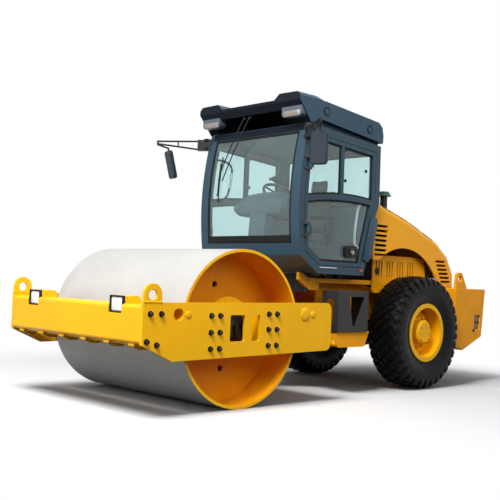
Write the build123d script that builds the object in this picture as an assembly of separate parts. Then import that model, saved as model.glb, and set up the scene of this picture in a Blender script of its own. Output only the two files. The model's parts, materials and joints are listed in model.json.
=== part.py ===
"""Single-drum articulated road roller, about 14 tonnes, with a closed cab.

Frame: +X forwards, +Y to the machine's left, +Z up, millimetres. The origin lies on the ground under
the middle of the machine's box. Places along the machine are given from the drum's axle.
"""
import math
import os

from build123d import *

# Driving dimensions: running gear
wheelbase = 3120.0
drum_radius = 765.0
drum_width = 2130.0
drum_wall = 28.0
drum_recess = 360.0
tyre_radius = 680.0
tyre_width = 445.0
tyre_wall = 42.0
tyre_outer_y = 1065.0
rim_seat_radius = 318.0
rim_flange_radius = 352.0
front_reach = 1240.0
rear_reach = 1500.0

# Driving dimensions: front frame and hitch
plate_thickness = 30.0
plate_clearance = 35.0
plate_outer_y = drum_width / 2 + plate_clearance + plate_thickness
plate_top_z = 1010.0
plate_bottom_z = 500.0
plate_front = front_reach
beam_depth = 235.0
beam_top_z = 985.0
beam_bottom_z = 645.0
beam_wall = 20.0
crossbeam_front = drum_radius + 95.0
crossbeam_rear = crossbeam_front + 170.0
plate_rear = crossbeam_rear + 190.0
crossbeam_wall = 25.0
pivot_back = 1520.0
hitch_z = 720.0
hitch_shaft_radius = 80.0
hitch_pin_radius = 45.0
ear_top_z = 900.0
ear_bottom_z = 540.0
ear_thickness = 40.0

# Driving dimensions: steering cylinders, in plan from the hitch pivot
cylinder_anchor = (-580.0, 200.0)
cylinder_eye = (80.0, 180.0)
barrel_radius = 45.0
barrel_start = 50.0
barrel_end = 330.0
rod_radius = 25.0
rod_stroke_room = 125.0
eye_radius = 44.0
eye_height = 50.0
cylinder_pin_radius = 24.0
clevis_plate = 20.0
clevis_gap = 5.0

# Driving dimensions: rear frame and body
frame_half_width = 430.0
frame_plate = 30.0
frame_bottom_z = 520.0
deck_z = 1285.0
deck_thickness = 50.0
deck_half_width = 620.0
step_outer_y = 900.0
step_inner_y = 660.0
step_front = 1600.0
step_rear = 2130.0
step_bottom_z = 700.0
step_top_z = 1150.0
step_wall = 16.0
tank_bottom_z = 525.0
hood_half_width = 700.0
hood_wall = 20.0
hood_corner = 90.0
counterweight_half_width = 920.0
counterweight_front = 3890.0
counterweight_top_z = 1230.0
counterweight_wall = 45.0

# Driving dimensions: cab
cab_half_width = 800.0
cab_side_thickness = 50.0
cab_wall = 60.0
cab_post = 85.0
door_gap = 7.0
door_frame = 48.0
glass_thickness = 8.0
roof_half_width = cab_half_width + 20.0
roof_wall = 28.0

# Clearances
running = 0.2
part_gap = 5.0

# Stations worked out from the values above
drum_x = (wheelbase + front_reach + rear_reach) / 2 - front_reach
axle_x = drum_x - wheelbase
pivot_x = drum_x - pivot_back
tyre_y = tyre_outer_y - tyre_width / 2


# Helpers
def at_drum(points):
    """Points (distance ahead of the drum axle, height) as side-view coordinates."""
    return [(drum_x + x, z) for x, z in points]


def outline(points, radius=0.0, corners=None):
    """A closed side-view or plan outline, with the named corners rounded."""
    sketch = make_face(Polyline(*points, close=True))
    if radius:
        chosen = sketch.vertices()
        if corners is not None:
            wanted = [Vector(*points[i]) for i in corners]
            chosen = [v for v in chosen if min((Vector(*v) - w).length for w in wanted) < 0.01]
        sketch = fillet(chosen, radius)
    return sketch


def oblong(x0, x1, z0, z1, radius):
    """A side-view rectangle between stations from the drum axle, with rounded corners."""
    return outline(at_drum([(x0, z0), (x1, z0), (x1, z1), (x0, z1)]), radius)


def across(sketch, y0, y1):
    """A side-view sketch (x, z) made solid from y0 to y1."""
    return extrude(Pos(0, y0, 0) * (Plane.XZ * sketch), amount=y1 - y0, dir=(0, 1, 0))


def upright(sketch, z0, z1):
    """A plan sketch (x, y) made solid from z0 to z1."""
    return extrude(Pos(0, 0, z0) * sketch, amount=z1 - z0, dir=(0, 0, 1))


def along(sketch, x0, x1):
    """A front-view sketch (y, z) made solid from x0 to x1."""
    return extrude(Pos(x0, 0, 0) * (Plane.YZ * sketch), amount=x1 - x0, dir=(1, 0, 0))


def block(x0, x1, y0, y1, z0, z1):
    """A rectangular solid between two corners."""
    return Pos((x0 + x1) / 2, (y0 + y1) / 2, (z0 + z1) / 2) * Box(abs(x1 - x0), abs(y1 - y0), abs(z1 - z0))


def rod_between(start, end, radius):
    """A round bar from one point to another."""
    a, b = Vector(*start), Vector(*end)
    return extrude(Plane(a, z_dir=(b - a).normalized()) * Circle(radius), amount=(b - a).length)


def bent_tube(points, bend, radius):
    """A round tube along straight runs joined by tangent arcs."""
    path = FilletPolyline(*points, radius=bend)
    start = Plane(path @ 0, z_dir=path % 0)
    return sweep(start * Circle(radius), path=path)


def turned(profile, x, z):
    """A profile of (radius, y) points turned about a cross-wise axle at x, z."""
    face = make_face(Polyline(*[(r, 0, y) for r, y in profile], close=True))
    solid = revolve(face, Axis.Z)
    return Pos(x, 0, z) * Rot(-90, 0, 0) * solid


def wheel_bar(x, z, radius, y0, y1):
    """A round bar along Y."""
    return rod_between((x, y0, z), (x, y1, z), radius)


def flipped(shape):
    """The other side's copy of a left-hand shape."""
    return mirror(shape, about=Plane.XZ)


def pair(shape):
    """A left-hand shape with its right-hand copy, as separate solids."""
    return Compound(children=[*shape.solids(), *flipped(shape).solids()])


def group(*shapes):
    """Several shapes as one node of separate solids."""
    return Compound(children=[s for shape in shapes for s in shape.solids()])


# Drum
head_face_y = drum_width / 2 - drum_recess
head_thickness = 30.0
head_bore = 130.0
head_boss_radius = 230.0
head_cone_radius = 300.0
head_boss_y = head_face_y + 115.0
drain_radius = 32.0
drain_circle = 420.0


def drum_shell():
    ring = Circle(drum_radius) - Circle(drum_radius - drum_wall)
    return Pos(drum_x, drum_width / 2, drum_radius) * Rot(90, 0, 0) * extrude(ring, amount=drum_width)


def drum_heads():
    inner = drum_radius - drum_wall
    profile = [
        (inner, head_face_y - head_thickness), (inner, head_face_y), (head_cone_radius, head_face_y),
        (head_boss_radius, head_boss_y - 25), (head_boss_radius, head_boss_y), (head_bore, head_boss_y),
        (head_bore, head_face_y - head_thickness),
    ]
    head = turned(profile, drum_x, drum_radius)
    for turn in (82, 262):
        a = math.radians(turn)
        x, z = drum_x + drain_circle * math.cos(a), drum_radius + drain_circle * math.sin(a)
        head -= wheel_bar(x, z, drain_radius, head_face_y - 2 * head_thickness, head_face_y + 10)
    return pair(head)


# Front frame
plate_inner_y = plate_outer_y - plate_thickness
bolt_group_x = (405.0, -345.0)
window_z = (650.0, 900.0)
eye_hole_radius = 45.0
eye_outer_radius = 100.0
eye_x = 1135.0
eye_z = plate_top_z + 65.0
tie_hole_radius = 56.0
tie_hole_x = (845.0, -810.0)
tie_hole_z = 905.0


def side_plates():
    points = at_drum([
        (plate_front, plate_top_z), (plate_front, 640), (900, plate_bottom_z - 10),
        (80 - plate_rear, plate_bottom_z + 30), (-plate_rear, plate_bottom_z + 30),
        (-plate_rear, plate_top_z + 15), (980, plate_top_z),
    ])
    plate = across(outline(points, 75, (4, 5)), plate_inner_y, plate_outer_y)
    for x0, x1 in ((30, 220), (-170, -60)):
        plate -= across(oblong(x0, x1, *window_z, 16), plate_inner_y - 5, plate_outer_y + 5)
    for x in tie_hole_x:
        plate -= wheel_bar(drum_x + x, tie_hole_z, tie_hole_radius, plate_inner_y - 5, plate_outer_y + 5)
    return pair(plate)


def lifting_eyes():
    lug = outline(at_drum([
        (eye_x - eye_outer_radius, plate_top_z), (eye_x - eye_outer_radius, eye_z + eye_outer_radius),
        (eye_x + eye_outer_radius, eye_z + eye_outer_radius), (eye_x + eye_outer_radius, plate_top_z),
    ]), eye_outer_radius * 0.98, (1, 2))
    lug -= Pos(drum_x + eye_x, eye_z) * Circle(eye_hole_radius)
    return pair(across(lug, plate_inner_y, plate_outer_y))


lamp_y = plate_inner_y - 390.0
lamp_width = 205.0
lamp_bottom_z = 900.0
lamp_top_z = 1055.0
lamp_depth = 65.0
lamp_set_back = 42.0


def lamp_box(grow=0.0):
    face = drum_x + front_reach - lamp_set_back
    return block(face - lamp_depth, face + grow, lamp_y - lamp_width / 2, lamp_y + lamp_width / 2,
                 lamp_bottom_z, lamp_top_z)


def lamp_covers():
    """Boxes on the front beam that shut the lamps in from behind."""
    rear = plate_front - beam_depth + 20
    cover = block(drum_x + rear, drum_x + front_reach - lamp_set_back - lamp_depth,
                  lamp_y - lamp_width / 2, lamp_y + lamp_width / 2, beam_top_z, lamp_top_z)
    edges = cover.edges().filter_by(Axis.Y).group_by(Axis.Z)[-1].sort_by(Axis.X)[:1]
    return pair(fillet(edges, 45))


def front_beam():
    """Box beam across the front, notched for the lamps."""
    front, rear = plate_front, plate_front - beam_depth
    outer = outline(at_drum([
        (rear, beam_top_z), (front, beam_top_z), (front, beam_bottom_z), (rear, beam_bottom_z),
    ]), 35, (1, 2))
    inner = outline(at_drum([
        (rear - 5, beam_top_z - beam_wall), (front - beam_wall, beam_top_z - beam_wall),
        (front - beam_wall, beam_bottom_z + beam_wall), (rear - 5, beam_bottom_z + beam_wall),
    ]))
    beam = across(outer - inner, -plate_inner_y, plate_inner_y)
    cut = lamp_box(lamp_set_back + 5)
    return beam + lamp_covers() - cut - flipped(cut)


def front_lamps():
    return pair(fillet(lamp_box().edges().filter_by(Axis.X), 14))


def drum_scrapers():
    reach = drum_radius + 22
    front = outline(at_drum([
        (plate_front - 60, beam_bottom_z), (plate_front - 170, beam_bottom_z), (reach - 25, 575),
        (reach - 20, 560), (plate_front - 165, beam_bottom_z - 16), (plate_front - 60, beam_bottom_z - 16),
    ]))
    rear = outline(at_drum([
        (-crossbeam_front, 640), (-crossbeam_front, 600), (-reach + 12, 560), (-reach + 6, 575),
    ]))
    half = drum_width / 2 - 15
    return group(across(front, -half, half), across(rear, -half, half))


flange_y = (head_boss_y + 12.0, head_boss_y + 37.0)
buffer_length = 48.0
carrier_y = flange_y[1] + buffer_length
carrier_thickness = 30.0
flange_radius = 300.0
buffer_radius = 45.0
buffer_circle = 235.0
buffer_count = 8


def drum_carriers():
    """Brackets bolted inside the side plates, which hold the drum's bearing hubs through rubber buffers."""
    z = drum_radius
    web = outline(at_drum([(bolt_group_x[0] + 110, z - 210), (bolt_group_x[0] + 110, z + 190),
                           (bolt_group_x[1] - 110, z + 190), (bolt_group_x[1] - 110, z - 210)]), 60)
    bracket = across(web, carrier_y, carrier_y + carrier_thickness)
    for x in bolt_group_x:
        pad = oblong(x - 105, x + 105, z - 205, z + 185, 20)
        core = oblong(x - 85, x + 85, z - 185, z + 165, 10)
        bracket += across(pad - core, carrier_y + carrier_thickness, plate_inner_y)
    return pair(bracket)


def drum_hubs():
    """Bearing hub: a flange behind the buffers with the stub that the drum head turns on."""
    hub = wheel_bar(drum_x, drum_radius, flange_radius, flange_y[0], flange_y[1])
    hub += wheel_bar(drum_x, drum_radius, head_bore - running, head_face_y - head_thickness, flange_y[0])
    return pair(hub)


def rubber_buffers():
    made = []
    for i in range(buffer_count):
        a = 2 * math.pi * (i + 0.5) / buffer_count
        x, z = drum_x + buffer_circle * math.cos(a), drum_radius + buffer_circle * math.sin(a) * 0.8
        made.append(wheel_bar(x, z, buffer_radius, flange_y[1], carrier_y))
    return pair(group(*made))


hitch_boss_radius = 150.0
hitch_boss_rear = crossbeam_rear + 100.0


def rear_crossbeam():
    """Box beam behind the drum, with the bearing that the hitch's shaft turns in."""
    def ring(wall):
        front, rear = wall + crossbeam_front, crossbeam_rear - wall
        low, high = plate_bottom_z + 40 + wall, plate_top_z - 25 - wall
        return outline(at_drum([(-front, low), (-front, high), (-rear, high), (-rear, low)]))
    beam = across(ring(0) - ring(crossbeam_wall), -plate_inner_y, plate_inner_y)
    start, end = (drum_x - crossbeam_front, 0, hitch_z), (drum_x - hitch_boss_rear, 0, hitch_z)
    beam += rod_between(start, end, hitch_boss_radius)
    bore = rod_between((start[0] + 5, 0, hitch_z), (end[0] - 5, 0, hitch_z), hitch_shaft_radius + running)
    return beam - bore


# Hitch between the two frames
clevis_levels = (hitch_z + eye_height / 2 + clevis_gap, hitch_z - eye_height / 2 - clevis_gap - clevis_plate)
hitch_hub_radius = 105.0


def hitch_block():
    z0, z1 = ear_bottom_z + part_gap, ear_top_z - part_gap
    hub = upright(Pos(pivot_x, 0) * Circle(hitch_hub_radius), z0, z1)
    flange_x = drum_x - hitch_boss_rear - part_gap
    shaft = rod_between((drum_x - crossbeam_front, 0, hitch_z), (flange_x - 60, 0, hitch_z),
                        hitch_shaft_radius)
    flange = rod_between((flange_x, 0, hitch_z), (flange_x - 45, 0, hitch_z), hitch_boss_radius - 10)
    web = block(pivot_x, flange_x - 40, -75, 75, hitch_z - 130, hitch_z + 130)
    body = hub + web + shaft + flange
    for side in (1, -1):
        ex, ey = pivot_x + cylinder_eye[0], side * cylinder_eye[1]
        arm = make_hull([*(Pos(ex, ey) * Circle(58)).edges(),
                         *(Pos(pivot_x + 60, side * 40) * Rectangle(150, 60)).edges()])
        for z in clevis_levels:
            body += upright(arm, z, z + clevis_plate)
    bore = upright(Pos(pivot_x, 0) * Circle(hitch_pin_radius + running), z0 - 5, z1 + 5)
    return body - bore


def steer_pins():
    length = 110
    top = upright(Pos(pivot_x, 0) * Circle(hitch_pin_radius), ear_top_z + ear_thickness + 12 - length - 12,
                  ear_top_z + ear_thickness)
    bottom = upright(Pos(pivot_x, 0) * Circle(hitch_pin_radius), ear_bottom_z - ear_thickness,
                     ear_bottom_z - ear_thickness + length)
    return group(top, bottom)


def cylinder_line(side):
    """Rear anchor, eye and unit direction of a steering cylinder, in plan."""
    start = Vector(pivot_x + cylinder_anchor[0], side * cylinder_anchor[1], hitch_z)
    end = Vector(pivot_x + cylinder_eye[0], side * cylinder_eye[1], hitch_z)
    return start, end, (end - start).normalized()


def steer_barrel(side):
    start, _, way = cylinder_line(side)
    low, high = hitch_z - eye_height / 2, hitch_z + eye_height / 2
    eye = upright(Pos(start.X, start.Y) * Circle(eye_radius), low, high)
    eye += rod_between(start + way * (eye_radius - 15), start + way * (barrel_start + 20), eye_height / 2)
    barrel = rod_between(start + way * (barrel_start + 15), start + way * barrel_end, barrel_radius) + eye
    bore = rod_between(start + way * (barrel_start + 35), start + way * (barrel_end + 5),
                       rod_radius + running)
    pin = upright(Pos(start.X, start.Y) * Circle(cylinder_pin_radius + running), hitch_z - 60, hitch_z + 60)
    return barrel - bore - pin


def steer_rod(side):
    start, end, way = cylinder_line(side)
    rod = rod_between(start + way * (barrel_start + 35 + rod_stroke_room), end - way * (eye_radius - 12),
                      rod_radius - running)
    eye = upright(Pos(end.X, end.Y) * (Circle(eye_radius) - Circle(cylinder_pin_radius)),
                  hitch_z - eye_height / 2, hitch_z + eye_height / 2)
    return rod - upright(Pos(end.X, end.Y) * Circle(eye_radius - 1), hitch_z - 40, hitch_z + 40) + eye


# Rear frame
frame_front = 1750.0
bulkhead = 2200.0
axle_clear_z = 810.0
frame_rail_z = 1150.0


def rear_frame():
    side = outline(at_drum([
        (-frame_front, ear_bottom_z - ear_thickness), (-frame_front, deck_z - deck_thickness),
        (-2560, deck_z - deck_thickness), (-3000, frame_rail_z), (-counterweight_front, frame_rail_z),
        (-counterweight_front, axle_clear_z),
        (-2700, axle_clear_z), (-2480, ear_bottom_z - ear_thickness),
    ]))
    half = frame_half_width
    frame = across(side, half - frame_plate, half) + across(side, -half, frame_plate - half)
    frame += block(drum_x - bulkhead, drum_x - bulkhead - frame_plate, -half, half,
                   ear_bottom_z - ear_thickness, deck_z - deck_thickness)
    nose = hitch_hub_radius + 35
    ear = make_hull([
        *(Pos(pivot_x, 0) * Circle(nose)).edges(),
        *outline([(drum_x - frame_front, half - frame_plate), (drum_x - frame_front, frame_plate - half),
                  (drum_x - bulkhead, frame_plate - half), (drum_x - bulkhead, half - frame_plate)]).edges(),
    ])
    ear -= Pos(pivot_x, 0) * Circle(hitch_pin_radius + running)
    for z in (ear_top_z, ear_bottom_z - ear_thickness):
        frame += upright(ear, z, z + ear_thickness)
    for sign in (1, -1):
        ax, ay = pivot_x + cylinder_anchor[0], sign * cylinder_anchor[1]
        lug = make_hull([*(Pos(ax, ay) * Circle(52)).edges(),
                         *(Pos(drum_x - bulkhead + 2, ay) * Rectangle(6, 130)).edges()])
        for z in clevis_levels:
            frame += upright(lug, z, z + clevis_plate)
        reach = eye_height / 2 + clevis_gap + clevis_plate + 8
        frame += upright(Pos(ax, ay) * Circle(cylinder_pin_radius), hitch_z - reach, hitch_z + reach)
    deck = outline([(drum_x - 1440, deck_half_width), (drum_x - 1440, -deck_half_width),
                    (drum_x - 2560, -deck_half_width), (drum_x - 2560, deck_half_width)], 60)
    frame += upright(deck, deck_z - deck_thickness, deck_z)
    arm = outline(at_drum([(-1600, 1150), (-1450, 1150), (-1270, 1265), (-1270, 1345), (-1320, 1335),
                           (-1440, deck_z), (-1500, deck_z - 1), (-1600, deck_z - deck_thickness)]))
    for sign in (1, -1):
        y = sign * (deck_half_width - 40)
        frame += across(arm, y - 20, y + 20)
    return frame


mount_places = ((1560.0, 480.0), (2060.0, 480.0))
cab_floor_z = 1335.0


def cab_mounts():
    made = [upright(Pos(drum_x - x, y) * Circle(58), deck_z, cab_floor_z) for x, y in mount_places]
    return pair(group(*made))


def side_tanks():
    tank = outline(at_drum([(-step_front - 20, step_bottom_z), (-step_rear - 60, step_bottom_z),
                            (-step_rear + 20, tank_bottom_z), (-step_front - 20, tank_bottom_z)]), 35, (2, 3))
    return pair(across(tank, frame_half_width, step_outer_y - 25))


def step_boxes():
    """Side step: a folded plate box with a wedge-shaped foot hole."""
    shell = block(drum_x - step_rear, drum_x - step_front, step_inner_y, step_outer_y,
                  step_bottom_z, step_top_z)
    shell -= block(drum_x - step_rear + step_wall, drum_x - step_front - step_wall, step_inner_y - 5,
                   step_outer_y - step_wall, step_bottom_z + step_wall, step_top_z - step_wall)
    foot = outline(at_drum([(-1790, 1090), (-2065, 1090), (-1905, 760), (-1860, 760)]), 12)
    shell -= across(foot, step_outer_y - 2 * step_wall, step_outer_y + 5)
    port = outline([(step_inner_y + 60, 800), (step_outer_y - 70, 800), (step_outer_y - 70, 1060),
                    (step_inner_y + 60, 1060)], 25)
    shell -= along(port, drum_x - step_front - 2 * step_wall, drum_x - step_front + 5)
    brackets = block(drum_x - step_rear, drum_x - step_front, frame_half_width, step_inner_y + 1,
                     step_bottom_z, step_bottom_z + 40)
    return pair(shell + brackets)


axle_tube_radius = 115.0
stub_radius = 80.0
wheel_disc_y = 870.0


def rear_axle():
    housing = wheel_bar(axle_x, tyre_radius, axle_tube_radius, -600, 600)
    bowl = turned([(0, -230), (150, -215), (225, -90), (225, 90), (150, 215), (0, 230)], axle_x, tyre_radius)
    axle = housing + bowl
    for sign in (1, -1):
        y = sign * (frame_half_width - frame_plate / 2)
        axle += block(axle_x - 130, axle_x + 130, y - 60, y + 60, tyre_radius, axle_clear_z)
        axle += wheel_bar(axle_x, tyre_radius, stub_radius, sign * 590, sign * (wheel_disc_y + 20))
    return axle


def engine_block():
    engine = block(drum_x - 2760, drum_x - 3620, -300, 300, 960, 1600)
    reach = frame_half_width - frame_plate
    feet = block(drum_x - 2900, drum_x - 3480, -reach, reach, 960, 1030)
    return engine + feet


def radiator():
    core = block(drum_x - 3760, drum_x - 3880, -520, 520, frame_rail_z, 1620)
    return fillet(core.edges().filter_by(Axis.X), 30)


counterweight_rear = wheelbase + rear_reach


def counterweight():
    """Rear bumper: a U of thick plate boxes round the tail of the hood."""
    def profile(shrink):
        front, rear = -counterweight_front - shrink, -counterweight_rear + shrink
        high = counterweight_top_z - shrink
        return outline(at_drum([
            (front, high), (rear, high), (rear + 70, 600 + shrink), (-4110 + shrink, 430 + shrink),
            (front, 470 + shrink),
        ]))
    half = counterweight_half_width
    wall = counterweight_wall
    solid = across(profile(0), -half, half)
    solid -= across(profile(wall), -half + wall, half - wall)
    bay = block(drum_x - 4290, drum_x - counterweight_front + wall + 5, -half + 180, half - 180,
                400, counterweight_top_z + 5)
    lamp = outline(at_drum([(-4368, 700), (-4488, 700), (-4510, 880), (-4378, 880)]), 18)
    port = across(lamp, half - wall - 5, half + 5)
    solid = solid - bay - port - flipped(port)
    bulkhead_plate = block(drum_x - counterweight_front, drum_x - counterweight_front - wall,
                           -half + 180, half - 180, axle_clear_z, 1035)
    side = across(profile(0) & Pos(drum_x - 4090, 800) * Rectangle(400, 900), half - 180, half - 180 + wall)
    strip = Pos(drum_x - 4290 - wall / 2, 800) * Rectangle(wall, 900)
    back = across(profile(0) & strip, -half + wall, half - wall)
    return solid + bulkhead_plate + side + flipped(side) + back


lug_x = 4010.0


def rear_lugs():
    z = counterweight_top_z
    lug = outline(at_drum([(105 - lug_x, z), (70 - lug_x, z + 205), (-lug_x - 40, z + 205),
                           (-lug_x - 160, z)]), 50, (1, 2))
    lug -= Pos(drum_x - lug_x + 10, z + 120) * Circle(eye_hole_radius - 5)
    y = counterweight_half_width
    return pair(across(lug, y - 45, y - 5))


def tail_lamps():
    half, wall = counterweight_half_width, counterweight_wall
    lamp = outline(at_drum([(-4352, 690), (-4500, 690), (-4525, 890), (-4362, 890)]), 18)
    return pair(across(lamp, half - wall - 35, half - wall))


def engine_screens():
    """Slotted panels that close the engine bay behind the wheels."""
    y = hood_half_width - 108
    panel = outline(at_drum([(-2562, frame_rail_z), (-2562, 1600), (-3620, 1600), (-3700, frame_rail_z)]), 30)
    slot_high = 210
    for bank in range(4):
        for line in range(3):
            x = -2640 - bank * 215 - line * 52
            slot = Pos(drum_x + x, 1430) * SlotOverall(slot_high, 24, rotation=90)
            panel -= slot
    foot = block(drum_x - 3660, drum_x - 2600, frame_half_width, y + 12, frame_rail_z - 12, frame_rail_z)
    return pair(across(panel, y, y + 12) + foot)


# Engine hood
hood_front = 2440.0
hood_hinge_x = 4262.0
hood_hinge_z = 1275.0
hood_hinge_y = 480.0
hood_pin_radius = 14.0


def hood_profile(wall):
    """Side view of the hood, or of the hollow inside a wall."""
    front, tail = wall - hood_front, wall - 4225
    return outline(at_drum([
        (front, 1300 - wall), (front, 2262 - wall), (-3160, 2062 - wall), (wall * 0.4 - 3790, 1832 - wall),
        (wall * 0.7 - 4060, 1650 - wall * 0.8), (tail + 20, 1420 - wall * 0.4), (tail, 1050 - wall),
    ]), 60, (2, 3, 4, 5))


def louvre_bank(x_top, z_top, lean, count, pitch, length):
    """Side-view slots in a column, each set back from the one above."""
    return [Pos(drum_x + x_top - lean * i, z_top - pitch * i) * SlotOverall(length, 30) for i in range(count)]


def rounded_hood(inset_by, half, corner):
    """The hood's mass with its long upper edges rounded."""
    mass = across(hood_profile(inset_by), -half, half)
    front = drum_x - hood_front + inset_by
    long_edges = [e for e in mass.edges()
                  if abs(abs(e.center().Y) - half) < 1 and e.center().Z > 1600 and e.center().X < front - 10]
    return fillet(long_edges, corner)


def hood():
    half = hood_half_width
    hollow = rounded_hood(hood_wall, half - hood_wall, hood_corner - hood_wall)
    shell = rounded_hood(0, half, hood_corner) - hollow
    heel, toe = (axle_x - 655, 1330), (axle_x + 560, 1535)
    arch = make_face(ThreePointArc(heel, (axle_x, 1700), toe)
                     + Polyline(toe, (axle_x + 760, 1535), (axle_x + 760, 1000), (axle_x - 655, 1000), heel))
    shell -= across(arch, -half - 10, half + 10)
    banks = louvre_bank(-2600, 1945, -3, 7, 58, 240) + louvre_bank(-3860, 1570, 26, 6, 52, 230)
    for slot in banks:
        shell -= across(slot, -half - 10, half + 10)
    for i in range(6):
        slot = Pos(0, 1110 + 46 * i) * SlotOverall(820, 22)
        shell -= along(slot, drum_x - 4300, drum_x - 4150)
    for sign in (1, -1):
        y = sign * hood_hinge_y
        tongue = make_hull([*(Pos(drum_x - hood_hinge_x, hood_hinge_z) * Circle(26)).edges(),
                            *(Pos(drum_x - 4205, hood_hinge_z) * Rectangle(16, 90)).edges()])
        tongue -= Pos(drum_x - hood_hinge_x, hood_hinge_z) * Circle(hood_pin_radius + running)
        shell += across(tongue, y - 30, y + 30)
    return shell


def hood_hinges():
    """Two brackets on the bumper with the pins that the hood turns on."""
    made = []
    for sign in (1, -1):
        y = sign * hood_hinge_y
        bracket = make_hull([*(Pos(drum_x - hood_hinge_x, hood_hinge_z) * Circle(24)).edges(),
                             *(Pos(drum_x - 4330, counterweight_top_z + 3) * Rectangle(70, 6)).edges()])
        one = wheel_bar(drum_x - hood_hinge_x, hood_hinge_z, hood_pin_radius, y - 48, y + 48)
        for s in (1, -1):
            one += across(bracket, y + s * 41 - 7, y + s * 41 + 7)
        made.append(one)
    return group(*made)


def intake_stack():
    """Air intake with its rain cap, and the exhaust pipe, standing on the hood."""
    x, y, z = drum_x - 2885, 490, 2110
    cap = Pos(x, y, z) * Cylinder(45, 230, align=(Align.CENTER, Align.CENTER, Align.MIN))
    cap += Pos(x, y, z + 230) * Cone(95, 60, 58, align=(Align.CENTER, Align.CENTER, Align.MIN))
    ex = drum_x - 2900
    pipe = bent_tube([(ex, -420, 2100), (ex, -420, 2330), (ex - 90, -420, 2420)], 60, 42)
    made = []
    lid = across(hood_profile(0), -hood_half_width, hood_half_width)
    for shape in (cap, pipe):
        made.append(shape - lid)
    return group(*made)


# Wheels
def rim(side):
    w = tyre_width / 2
    inner, outer = tyre_y - w + 42, tyre_y + w - 34
    seat, lip = rim_seat_radius, rim_flange_radius
    t = 14
    hub = stub_radius + running
    face = wheel_disc_y
    profile = [
        (seat, inner + t), (lip, inner + t), (lip, inner), (seat - t, inner), (seat - t, face - 60),
        (240, face - 18), (hub, face - 18), (hub, face + 22), (0, face + 22), (0, face + 130),
        (125, face + 130), (150, face + 110), (150, face + 8), (250, face + 8), (seat - t, face - 32),
        (seat - t - 4, outer),
        (lip, outer), (lip, outer - t), (seat, outer - t),
    ]
    wheel = turned(profile, axle_x, tyre_radius)
    return wheel if side > 0 else flipped(wheel)


def tyre(side):
    w = tyre_width / 2
    r, wall = tyre_radius, tyre_wall
    seat, bead = rim_seat_radius, rim_flange_radius
    left, right = tyre_y - w, tyre_y + w
    near, far = left + 42 + 14, right - 34 - 14
    profile = [
        (seat, near), (bead, near), (bead + 10, near - 20), (470, left), (r - 120, left), (r - 35, left + 34),
        (r - 6, left + 75), (r, tyre_y - 110), (r, tyre_y + 110), (r - 6, right - 75), (r - 35, right - 34),
        (r - 120, right), (470, right), (bead + 10, far + 20), (bead, far), (seat, far),
        (seat, far - 60), (470, right - wall), (r - 80, right - wall - 8), (r - wall - 18, tyre_y + 90),
        (r - wall - 18, tyre_y - 90), (r - 80, left + wall + 8), (470, left + wall), (seat, near + 60),
    ]
    rubber = turned(profile, axle_x, tyre_radius)
    return rubber if side > 0 else flipped(rubber)


# Cab
cab_front_low = (-1060.0, 1520.0)
cab_front_bulge = (-1012.0, 2150.0)
cab_front_top = (-1135.0, 2965.0)
cab_rear_top = (-2395.0, 2870.0)


def cab_outline():
    """Side view of the cab below its roof."""
    low, bulge, top, back = at_drum([cab_front_low, cab_front_bulge, cab_front_top, cab_rear_top])
    corners = at_drum([(-2400, 2190), (-2345, 2060), (-2140, cab_floor_z), (-1350, cab_floor_z)])
    edges = ThreePointArc(low, bulge, top) + Polyline(top, back, *corners, low)
    return make_face(edges)


def inset(sketch, amount):
    return offset(sketch, -amount, kind=Kind.INTERSECTION)


cab_inner_y = cab_half_width - cab_side_thickness
window_half = cab_inner_y - 70


def cab_side_frames():
    ring = cab_outline() - inset(cab_outline(), cab_post)
    side = across(ring, cab_inner_y, cab_half_width)
    return pair(side)


def cab_band(x0, x1, z0, z1):
    """The part of the cab's front, floor, rear or top wall that lies inside a side-view window."""
    band = cab_outline() - inset(cab_outline(), cab_wall)
    cut = Pos(drum_x + (x0 + x1) / 2, (z0 + z1) / 2) * Rectangle(x1 - x0, z1 - z0)
    return across(band & cut, -cab_inner_y, cab_inner_y)


front_split_z = 1530.0
screen_z = (1650.0, 2880.0)
rear_split_x = -2090.0
rear_window_z = (2160.0, 2790.0)


def cab_front_frame():
    wall = cab_band(-1200, -900, front_split_z, 3000)
    return wall - block(drum_x - 1300, drum_x - 900, -window_half, window_half, screen_z[0], screen_z[1])


def cab_floor():
    pan = cab_band(rear_split_x, -900, 1300, front_split_z)
    return pan


def cab_rear_frame():
    wall = cab_band(-2500, rear_split_x, 1300, 2760) + cab_band(-2500, -2300, 2760, 2860)
    return wall - block(drum_x - 2500, drum_x - 2250, -window_half, window_half, *rear_window_z)


def cab_top_frame():
    return cab_band(-2300, -1200, 2760, 3000)


def pane(depth, x0, x1, z0, z1):
    """A sheet of glass set into the cab wall at a depth from its outer face."""
    sheet = inset(cab_outline(), depth) - inset(cab_outline(), depth + glass_thickness)
    cut = Pos(drum_x + (x0 + x1) / 2, (z0 + z1) / 2) * Rectangle(x1 - x0, z1 - z0)
    return across(sheet & cut, -window_half, window_half)


def windscreen():
    return pane(8, -1250, -900, screen_z[0], screen_z[1])


def rear_window():
    return pane(20, -2500, -2250, rear_window_z[0], rear_window_z[1])


# Cab doors
door_hinge_x = -1150.0
door_hinge_y = cab_half_width + 22.0
door_hinge_z = (1760.0, 2480.0)
door_hinge_radius = 9.0
door_hinge_height = 90.0


def door_outline():
    return inset(cab_outline(), cab_post + door_gap)


def door_panes():
    """The door's three glass openings in side view."""
    hole = inset(door_outline(), door_frame)
    upper = at_drum([(-1000, 2145), (-1690, 2232), (-2400, 2200)])
    lower = at_drum([(-2400, 2140), (-1690, 2172), (-1000, 2085)])
    rail = make_face(ThreePointArc(*upper) + Line(upper[2], lower[0]) + ThreePointArc(*lower)
                     + Line(lower[2], upper[0]))
    post = Pos(drum_x - 1715, 2600) * Rectangle(46, 800)
    return hole - rail - (post - Pos(drum_x - 1715, 1700) * Rectangle(3000, 1000))


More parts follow.
